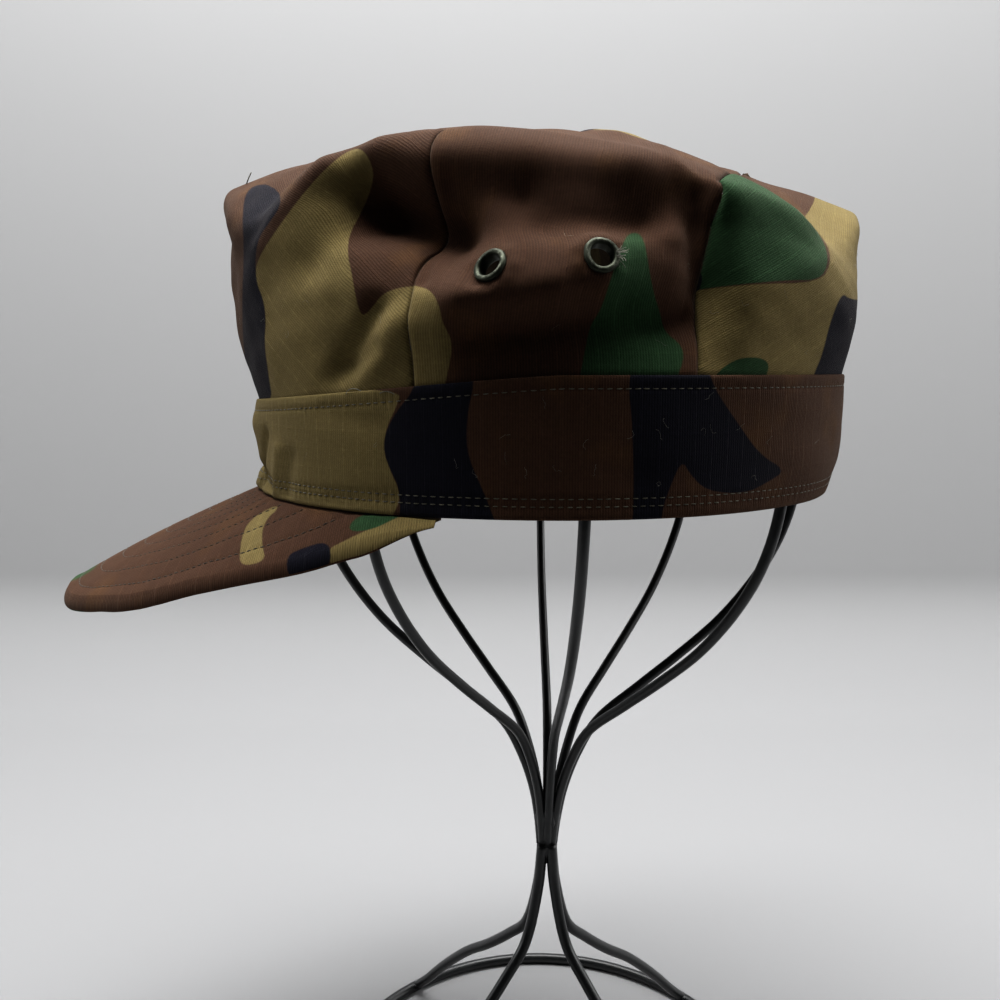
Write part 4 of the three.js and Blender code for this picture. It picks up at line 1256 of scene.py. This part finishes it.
cage_parts = [tube(hoop_path(90 + CAGE_TURN + 45 * i), CAGE_WIRE / 2, 16) for i in range(4)]
leg_parts = [tube(leg_path(LEG_TURN + 90 * i), LEG_WIRE / 2, 16) for i in range(4)]
weld_parts = [bead(cage_place(0, 0, CAGE_TOP - 0.6), (4.2, 4.0, 1.7), 1)]
for i in range(8):
    angle = 22.5 + 45 * i
    weld_parts.append(bead(cage_place(angle, 3.4, WAIST_HEIGHT + 11), (1.3, 1.3, 5.0), 10 + i))
weld_parts.append(bead(cage_place(0, 0, WAIST_HEIGHT - 1), (3.3, 3.3, 7.0), 30))
weld_parts.append(bead(cage_place(0, 0, WAIST_HEIGHT + 9), (3.6, 3.6, 7.0), 31))
for i in range(4):
    foot = spot(LEG_TURN + 90 * i, BASE_RADIUS - 1.4, BASE_WIRE / 2 + 1.2) + STAND_AXIS
    weld_parts.append(bead(foot, (2.6, 2.6, 1.5), 40 + i))
ring_angle = np.linspace(0, 360, 220, endpoint=False)
ring_path = spot(ring_angle, BASE_RADIUS, BASE_WIRE / 2) + STAND_AXIS
ring_parts = [tube(ring_path, BASE_WIRE / 2, 16, closed=True)]

stand_pieces = {}
for piece_name, parts in (("cage_wires", cage_parts), ("stand_legs", leg_parts),
                          ("weld_beads", weld_parts), ("floor_ring", ring_parts)):
    points, faces = join_parts(parts)
    stand_pieces[piece_name] = make_mesh(piece_name, points, faces)
    print(piece_name, len(faces), "faces")

# %% [markdown]
# ## Shader arithmetic
# A material is easier to read as sums and products than as boxes and wires. A small class wraps
# one socket, so that an ordinary expression adds the Math nodes, and one method adds any other
# kind of node from its type, its settings and the values of its sockets.

# %% A wrapped socket
class Value:
    def __init__(self, tree, socket):
        self.tree = tree
        self.socket = socket

    def node(self, kind, settings=None, inputs=None, output=0):
        node = self.tree.nodes.new(kind)
        for name, setting in (settings or {}).items():
            setattr(node, name, setting)
        for name, value in (inputs or {}).items():
            if isinstance(value, Value):
                self.tree.links.new(value.socket, node.inputs[name])
            else:
                node.inputs[name].default_value = value
        return Value(self.tree, node.outputs[output])

    def maths(self, operation, *values):
        return self.node("ShaderNodeMath", {"operation": operation}, dict(enumerate((self,) + values)))

    def __add__(self, other):
        return self.maths("ADD", other)

    __radd__ = __add__

    def __mul__(self, other):
        return self.maths("MULTIPLY", other)

    __rmul__ = __mul__

    def __sub__(self, other):
        return self.maths("SUBTRACT", other)

    def __rsub__(self, other):
        return (self * -1) + other

    def __truediv__(self, other):
        return self.maths("DIVIDE", other)

    def __pow__(self, other):
        return self.maths("POWER", other)

    def sine(self):
        return self.maths("SINE")

    def size(self):
        return self.maths("ABSOLUTE")

    def step(self, low, high):
        """0 under low, 1 over high and a soft step between them"""
        settings = {"interpolation_type": "SMOOTHSTEP"}
        return self.node("ShaderNodeMapRange", settings, {0: self, 1: low, 2: high, 3: 0.0, 4: 1.0})

    def repeat(self, length):
        """Distance to the nearest of lines that lie a length apart"""
        return self.maths("PINGPONG", length / 2)

    def parts(self):
        split = self.tree.nodes.new("ShaderNodeSeparateXYZ")
        self.tree.links.new(self.socket, split.inputs[0])
        return [Value(self.tree, split.outputs[k]) for k in range(3)]


def blend(share, first, second):
    """Mixes two colours by a share"""
    start = share.node("ShaderNodeMix", {"data_type": "RGBA"}, {0: share})
    node = start.socket.node
    for slot_index, colour in ((6, first), (7, second)):
        if isinstance(colour, Value):
            start.tree.links.new(colour.socket, node.inputs[slot_index])
        else:
            node.inputs[slot_index].default_value = (*colour, 1)
    return Value(start.tree, node.outputs[2])


def dim(colour, share):
    """Scales a colour by a value"""
    return colour.node("ShaderNodeVectorMath", {"operation": "SCALE"}, {0: colour, 3: share})


def new_material(name, settings):
    """A material with its shader's constant sockets set, and a value to start expressions from"""
    material = bpy.data.materials.new(name)
    material.use_nodes = True
    tree = material.node_tree
    shader = tree.nodes["Principled BSDF"]
    for socket, value in settings.items():
        shader.inputs[socket].default_value = value
    return material, shader, Value(tree, shader.outputs[0])


def field(start, name):
    return start.node("ShaderNodeAttribute", {"attribute_name": name}, output=1)


def noise(start, place, scale, detail=3.0, roughness=0.55):
    return start.node("ShaderNodeTexNoise", None,
                      {"Vector": place, "Scale": scale, "Detail": detail, "Roughness": roughness})


def connect(shader, start, colour=None, roughness=None, height=None, distance=0.0001, strength=1.0):
    tree = start.tree
    if colour:
        tree.links.new(colour.socket, shader.inputs["Base Color"])
    if roughness:
        tree.links.new(roughness.socket, shader.inputs["Roughness"])
    if height:
        inputs = {"Strength": strength, "Distance": distance, "Height": height}
        bump = start.node("ShaderNodeBump", None, inputs)
        tree.links.new(bump.socket, shader.inputs["Normal"])


print("shader arithmetic is ready")

# %% [markdown]
# ## Ripstop cotton
# The cloth is a fine plain weave with thicker threads, two side by side, every few millimetres both
# ways: they stop a tear and show as a faint grid. The dye lies on top, so the raised threads wear
# paler, and loose fibres make the surface a little hairy and pale where it is seen edge on. The
# inside shows the print only faintly.

# %% Cloth material
KHAKI = (0.175, 0.134, 0.054)
BROWN = (0.062, 0.031, 0.018)
RUST = (0.105, 0.052, 0.020)
GREEN = (0.024, 0.058, 0.024)
DARK = (0.0070, 0.0070, 0.0130)
THREAD_PITCH = 0.74
RIPSTOP_PITCH = 5.2


def cloth_material(name, brightness=1.0):
    material, shader, start = new_material(name, {
        "Roughness": 0.92,
        "Specular IOR Level": 0.12,
        "Sheen Weight": 0.06,
        "Sheen Roughness": 0.35,
        "Sheen Tint": (0.80, 0.70, 0.58, 1),
    })
    threads = field(start, "threads")
    along, across, _ = threads.parts()
    khaki, green, dark = field(start, "print").parts()
    reverse, _, _ = field(start, "reverse").parts()
    turn = 2 * np.pi / THREAD_PITCH
    warp = (along * turn).sine()
    weft = (across * turn).sine()
    weave = warp * 0.32 + (warp * weft) * 0.18 + 0.5
    rib_up = 1 - (along.repeat(RIPSTOP_PITCH) - 0.20).size().step(0.05, 0.24)
    rib_over = 1 - (across.repeat(RIPSTOP_PITCH) - 0.20).size().step(0.05, 0.24)
    slub = noise(start, threads, 0.35, 2.0).step(0.35, 0.75)
    ribs = (rib_up * 1.0 + rib_over * 0.35) * (slub * 0.8 + 0.2)
    fuzz = noise(start, threads, 3.4, 4.0, 0.7)
    mottle = noise(start, threads, 0.9, 3.0, 0.6)
    broad = noise(start, threads, 0.06, 3.0)
    ragged = (fuzz - 0.5) * 2.2
    is_khaki = (khaki + ragged).step(-0.9, 0.9)
    is_green = (green + ragged).step(-0.9, 0.9)
    is_dark = (dark + ragged).step(-0.9, 0.9)
    rust = noise(start, threads, 0.045, 2.0).step(0.52, 0.72)
    dye = blend(rust * 0.45, BROWN, RUST)
    dye = blend(is_khaki, dye, KHAKI)
    dye = blend(is_green, dye, GREEN)
    dye = blend(is_dark, dye, DARK)
    shade = (weave * 0.50 + 0.66) * (mottle * 0.55 + 0.72) * (broad * 0.30 + 0.86) * brightness
    dye = dim(dye, shade * (ribs * 0.26 + 1))
    worn = fuzz.step(0.58, 0.86) * (1 - is_dark * 0.6) * 0.11
    dye = blend(worn, dye, (0.30, 0.23, 0.15))
    dye = blend(reverse.step(0.4, 0.6) * 0.55, dye, (0.105, 0.090, 0.066))
    height = weave * 0.55 + ribs * 0.7 + fuzz * 0.9 + mottle * 0.5
    connect(shader, start, dye, (fuzz * 0.10 + 0.86), height, 0.00022, 0.75)
    return material


crown_material = cloth_material("ripstop_crown")
band_material = cloth_material("ripstop_band", 0.95)
visor_material = cloth_material("ripstop_visor", 1.05)
for piece in crown_pieces:
    piece.data.materials.append(crown_material)
band_piece.data.materials.append(band_material)
visor_piece.data.materials.append(visor_material)
allowance_piece.data.materials.append(band_material)
print("cloth threads every", THREAD_PITCH, "mm")

# %% [markdown]
# ## Metal
# The eyelets are blackened to a grey green, and a paler colour along the crest of the rim is a
# painted highlight. The stand's wire has a thick satin coating with a slight orange peel.

# %% Metal materials
def eyelet_material():
    material, shader, start = new_material("blackened_eyelet", {"Metallic": 1.0, "Specular IOR Level": 0.5})
    # The profile's height picks out the crest of the rim, which gets a paler colour, a painted highlight,
    # and a lower roughness
    height = field(start, "ring_profile").parts()[0]
    place = start.node("ShaderNodeTexCoord", output=3)
    grime = noise(start, place, 900.0, 4.0, 0.65)
    scratch = noise(start, place, 2600.0, 2.0)
    bright = (height + (grime - 0.5) * 1.1).step(1.15, 1.75)
    colour = blend(bright, (0.042, 0.046, 0.034), (0.24, 0.25, 0.20))
    colour = dim(colour, grime * 0.8 + 0.55)
    connect(shader, start, colour, 0.52 - bright * 0.24 + (grime - 0.5) * 0.3,
            grime * 0.5 + scratch * 0.4, 0.00008, 0.5)
    return material


def wire_material():
    material, shader, start = new_material("black_coated_wire", {
        "Specular IOR Level": 0.5,
        "Coat Roughness": 0.35,
        "Coat Weight": 0.2,
    })
    place = start.node("ShaderNodeTexCoord", output=3)
    peel = noise(start, place, 700.0, 3.0)
    dust = noise(start, place, 130.0, 5.0, 0.7)
    colour = blend(dust.step(0.50, 0.85), (0.0075, 0.0085, 0.0090), (0.022, 0.025, 0.024))
    connect(shader, start, colour, dust * 0.22 + 0.26, peel, 0.00015, 0.35)
    return material


metal = eyelet_material()
for ring in eyelet_pieces.values():
    ring.data.materials.append(metal)
coating = wire_material()
for wire_piece in stand_pieces.values():
    wire_piece.data.materials.append(coating)
print("metal and coating are set")

# %% [markdown]
# ## Stitches, thread ends and lint
# The band is sewn with one row under its upper fold and two rows over its lower one, and the visor
# with rows that follow its rim. Each stitch is a short thread that dives into the cloth at both
# ends. A few loose thread ends stand up from the front seam, the rear eyelet and the band's edge,
# and pale lint clings to the band and the crown's left side, as it does on every worn cap.

# %% Rows of stitches
STITCH_LENGTH = 1.8
STITCH_GAP = 0.6
THREAD_RADIUS = 0.15


def surface_normal(surface, a, b, step_a, step_b):
    """The way a surface faces at places, from its neighbours"""
    first = surface(a + step_a, b) - surface(a - step_a, b)
    second = surface(a, b + step_b) - surface(a, b - step_b)
    normal = np.cross(first, second)
    return normal / np.linalg.norm(normal, axis=-1, keepdims=True)


def stitch_row(places, normals, jitter):
    """Short threads along a dense line of places, each a small arch that dives at its ends"""
    length = np.concatenate([[0], np.cumsum(np.linalg.norm(np.diff(places, axis=0), axis=1))])
    starts = np.arange(0.4, length[-1] - STITCH_LENGTH, STITCH_LENGTH + STITCH_GAP)
    parts = []
    generator = np.random.default_rng(jitter)
    for start in starts:
        share = np.linspace(0, 1, 6)
        at = start + share * STITCH_LENGTH + generator.uniform(-0.1, 0.1)
        middle = np.stack([np.interp(at, length, places[:, k]) for k in range(3)], -1)
        facing = np.stack([np.interp(at, length, normals[:, k]) for k in range(3)], -1)
        sideways = np.cross(facing, np.gradient(middle, axis=0))
        sideways /= np.maximum(np.linalg.norm(sideways, axis=1, keepdims=True), 1e-9)
        arch = 0.30 * np.sin(np.pi * share) ** 0.7 - 0.16
        slant = generator.uniform(-0.10, 0.10) * (share - 0.5)
        path = middle + facing * arch[:, None] + sideways * slant[:, None]
        radius = THREAD_RADIUS * (0.7 + 0.3 * np.sin(np.pi * share))
        parts.append(tube(path, radius, 6))
    return parts


def band_row(from_edge, upper, jitter):
    turn = np.linspace(-180, 180, 2400)
    height = band_top(turn) - BAND_BOTTOM
    level = 1 - from_edge / height if upper else from_edge / height
    places = band_surface(turn, level)
    normals = -surface_normal(band_surface, turn, level, 0.4, 0.01)
    outward = places * np.array([1, 1, 0])
    normals *= np.sign(np.sum(normals * outward, axis=-1, keepdims=True))
    return stitch_row(places, normals, jitter)


def visor_row(inside, jitter):
    turn = np.linspace(-VISOR_TURN, VISOR_TURN, 3000)
    length = visor_length(turn)
    keep = length > inside + 2.2
    turn, length = turn[keep], length[keep]
    out = 1 - inside / length
    places = visor_surface(turn, out) + np.array([0, 0, 1]) * visor_relief(turn, out)[:, None]
    normals = surface_normal(visor_surface, turn, out, 0.3, 0.01)
    normals *= np.sign(normals[:, 2:])
    return stitch_row(places, normals, jitter)


band_threads = band_row(TOP_STITCH, True, 1)
for i, row in enumerate(BOTTOM_STITCHES):
    band_threads += band_row(row, False, 2 + i)
visor_threads = []
for i, row in enumerate(VISOR_ROWS):
    visor_threads += visor_row(row, 10 + i)
band_stitches = make_mesh("band_stitches", *join_parts(band_threads))
visor_stitches = make_mesh("visor_stitches", *join_parts(visor_threads))
print(len(band_threads), "stitches on the band and", len(visor_threads), "on the visor")

# %% Loose thread ends and lint
def curl(start, direction, length, bend, steps=14):
    """A free thread end that bends evenly as it goes"""
    path = [np.asarray(start, float)]
    direction = np.asarray(direction, float) / np.linalg.norm(direction)
    for _ in range(steps):
        direction = direction + np.asarray(bend) / steps
        direction /= np.linalg.norm(direction)
        path.append(path[-1] + direction * length / steps)
    return np.array(path)


def lint_fibres(count, seed):
    """Curled pale fibres that lie on the band and the crown"""
    generator = np.random.default_rng(seed)
    parts = []
    for _ in range(count):
        heading = generator.uniform(0, 2 * np.pi) + np.cumsum(generator.normal(0, 0.6, 12))
        wander = np.cumsum(np.stack([np.cos(heading), np.sin(heading)], -1), axis=0) * 0.32
        if generator.uniform() < 0.6:
            turn, level = generator.uniform(30, 170), generator.uniform(0.15, 0.9)
            places = band_surface(turn + wander[:, 0] / 1.6, level + wander[:, 1] / 36)
        else:
            turn, share = generator.uniform(5, 175), generator.uniform(0.04, 0.45)
            places = crown_point(turn + wander[:, 0] / 1.6, share + wander[:, 1] / 140)
        outward = places - np.array([0, 0, BAND_TOP - 20])
        outward /= np.linalg.norm(outward, axis=1, keepdims=True)
        path = smooth_path(places + outward * 0.16, 16)
        parts.append(tube(path, 0.026, 4))
    return parts


rear_centre, rear_facing = eyelet_place(EYELETS[1][1], EYELETS[1][2])
tuft = []
generator = np.random.default_rng(5)
for _ in range(16):
    angle = generator.uniform(-0.5, 0.45)
    start = rear_centre + np.array([3.6 * np.cos(angle), 0, 3.6 * np.sin(angle)]) + rear_facing * 0.5
    aim = np.array([np.cos(angle), 0, np.sin(angle)]) + rear_facing * generator.uniform(0.1, 0.5)
    length = generator.uniform(1.6, 3.6)
    tuft.append(tube(curl(start, aim, length, generator.normal(0, 0.7, 3)), 0.07, 5))
peak = crown_point(2.0, 0.50)
ends = [
    tube(curl(peak + [3.6, -0.4, -1.0], (0.25, -0.1, 1), 7.0, (0.2, 0.1, -0.2)), 0.20, 6),
    tube(curl(peak + [4.4, -0.6, -1.0], (0.5, -0.1, 1), 5.0, (0.5, 0.0, -0.3)), 0.20, 6),
    tube(curl(band_surface(52.0, 0.99), (0.3, -0.5, 1), 9.0, (1.9, 0.1, -2.6)), 0.10, 6),
    tube(curl(band_surface(59.0, 0.97), (0.7, -0.5, 0.5), 5.0, (0.4, 0.2, -1.2)), 0.10, 6),
]
thread_ends = make_mesh("thread_ends", *join_parts(tuft + ends))
lint = make_mesh("lint", *join_parts(lint_fibres(44, 9)))
print(len(tuft) + len(ends), "thread ends and 44 fibres of lint")

# %% Thread material
def thread_material(name, colour, pale):
    material, shader, start = new_material(name, {"Specular IOR Level": 0.3, "Sheen Weight": 0.3})
    place = start.node("ShaderNodeTexCoord", output=3)
    tone = noise(start, place, 260.0, 3.0)
    twist = noise(start, place, 5200.0, 2.0)
    dye = blend(tone.step(0.35, 0.75), colour, pale)
    connect(shader, start, dim(dye, twist * 0.7 + 0.6), twist * 0.2 + 0.65, twist, 0.00008, 0.6)
    return material


sewing_thread = thread_material("olive_sewing_thread", (0.050, 0.045, 0.026), (0.12, 0.11, 0.075))
dark_thread = thread_material("dark_sewing_thread", (0.026, 0.023, 0.014), (0.05, 0.045, 0.03))
pale_thread = thread_material("pale_frayed_thread", (0.085, 0.08, 0.06), (0.22, 0.21, 0.165))
band_stitches.data.materials.append(sewing_thread)
visor_stitches.data.materials.append(dark_thread)
thread_ends.data.materials.append(pale_thread)
lint.data.materials.append(pale_thread)

# %% [markdown]
# ## Room and light
# The picture was taken against a plain pale wall that meets a white table in a soft bend. One wide
# light hangs over the cap and a little behind it, so the crown's top is bright and its side is
# dusky. A second one washes the wall, two weak ones stand to the left and to the right, and the
# table ends just in front of the stand, so that little light comes back from below. A raised
# contrast gives the deep shadows that a small camera makes of such light.

# %% Table, wall and lights
def make_sweep():
    radius = 0.10
    wall_y = 0.47
    profile = [(-0.35, 0.0), (wall_y - radius, 0.0)]
    for angle in np.linspace(0, np.pi / 2, 17)[1:]:
        profile.append((wall_y - radius + radius * np.sin(angle), radius - radius * np.cos(angle)))
    profile.append((wall_y, 2.4))
    points = [(x, y, z) for x in (-2.6, 2.6) for y, z in profile]
    count = len(profile)
    faces = [(i, i + count, i + count + 1, i + 1) for i in range(count - 1)]
    mesh = bpy.data.meshes.new("table_and_wall")
    mesh.from_pydata(points, [], faces)
    mesh.polygons.foreach_set("use_smooth", [True] * len(mesh.polygons))
    sweep = bpy.data.objects.new("table_and_wall", mesh)
    bpy.context.scene.collection.objects.link(sweep)
    material, shader, start = new_material("pale_sweep", {"Specular IOR Level": 0.2})
    place = start.node("ShaderNodeTexCoord", output=3)
    height = place.parts()[2]
    tone = blend(height.step(0.0, 0.10), (0.255, 0.255, 0.258), (0.33, 0.33, 0.332))
    connect(shader, start, tone, noise(start, place, 3.0) * 0.05 + 0.85)
    mesh.materials.append(material)
    return sweep


def area_light(name, place, aim, size, power, colour=(1, 1, 1)):
    data = bpy.data.lights.new(name, "AREA")
    data.shape = "RECTANGLE"
    data.size, data.size_y = size
    data.energy = power
    data.color = colour
    light = bpy.data.objects.new(name, data)
    light.location = place
    direction = np.array(aim) - np.array(place)
    light.rotation_euler = Vector(direction).to_track_quat("-Z", "Y").to_euler()
    bpy.context.scene.collection.objects.link(light)
    return light


make_sweep()
area_light("overhead", (0.0, 0.14, 1.20), (0.02, 0.06, 0.2), (1.0, 0.6), 23.0)
area_light("wall_wash", (0.0, -0.22, 1.50), (0.0, 0.47, 0.30), (1.8, 0.3), 14.0)
area_light("window", (-1.25, 0.10, 0.70), (-0.05, 0.0, 0.28), (0.8, 0.8), 5.4, (0.98, 0.99, 1.0))
area_light("far_side", (1.25, 0.10, 0.70), (0.08, 0.0, 0.28), (0.8, 0.8), 8.5)
world = bpy.data.worlds.new("room")
world.use_nodes = True
world.node_tree.nodes["Background"].inputs[0].default_value = (0.80, 0.82, 0.84, 1)
world.node_tree.nodes["Background"].inputs[1].default_value = 0.06
bpy.context.scene.world = world
bpy.context.scene.view_settings.view_transform = "Standard"
bpy.context.scene.view_settings.look = "Medium High Contrast"
print("four lights and a pale sweep")

# %% [markdown]
# ## Handing the pieces over
# Every piece rides on the part's one body and replaces the plain solids
# that it covers.

# %% Bodies and replaced solids
crown_nodes = {
    "front_left_cloth": "crown_front_left",
    "front_right_cloth": "crown_front_right",
    "rear_left_cloth": "crown_rear_left",
    "rear_right_cloth": "crown_rear_right",
    "centre_cloth": "crown_centre",
}


def hand_over(piece, finish, *nodes):
    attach(piece, "root")
    if nodes:
        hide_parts(*nodes)


for piece in crown_pieces:
    hand_over(piece, "crown_cloth", crown_nodes[piece.name])
hand_over(band_piece, "band_cloth", "band")
hand_over(visor_piece, "visor_cloth", "visor")
hand_over(allowance_piece, "visor_cloth")
hand_over(band_stitches, "band_cloth")
hand_over(visor_stitches, "visor_cloth")
hand_over(thread_ends, "crown_cloth")
hand_over(lint, "crown_cloth")
for node, ring in eyelet_pieces.items():
    hand_over(ring, "eyelet_metal", node)
cage_nodes = [f"cage_wire_{i + 1}" for i in range(8)]
leg_nodes = [f"leg_{i + 1}" for i in range(4)]
hand_over(stand_pieces["cage_wires"], "stand_wire", *cage_nodes)
hand_over(stand_pieces["stand_legs"], "stand_wire", *leg_nodes)
hand_over(stand_pieces["weld_beads"], "stand_wire", "top_weld", "waist_weld")
hand_over(stand_pieces["floor_ring"], "stand_wire", "base_ring")
print("pieces handed over")
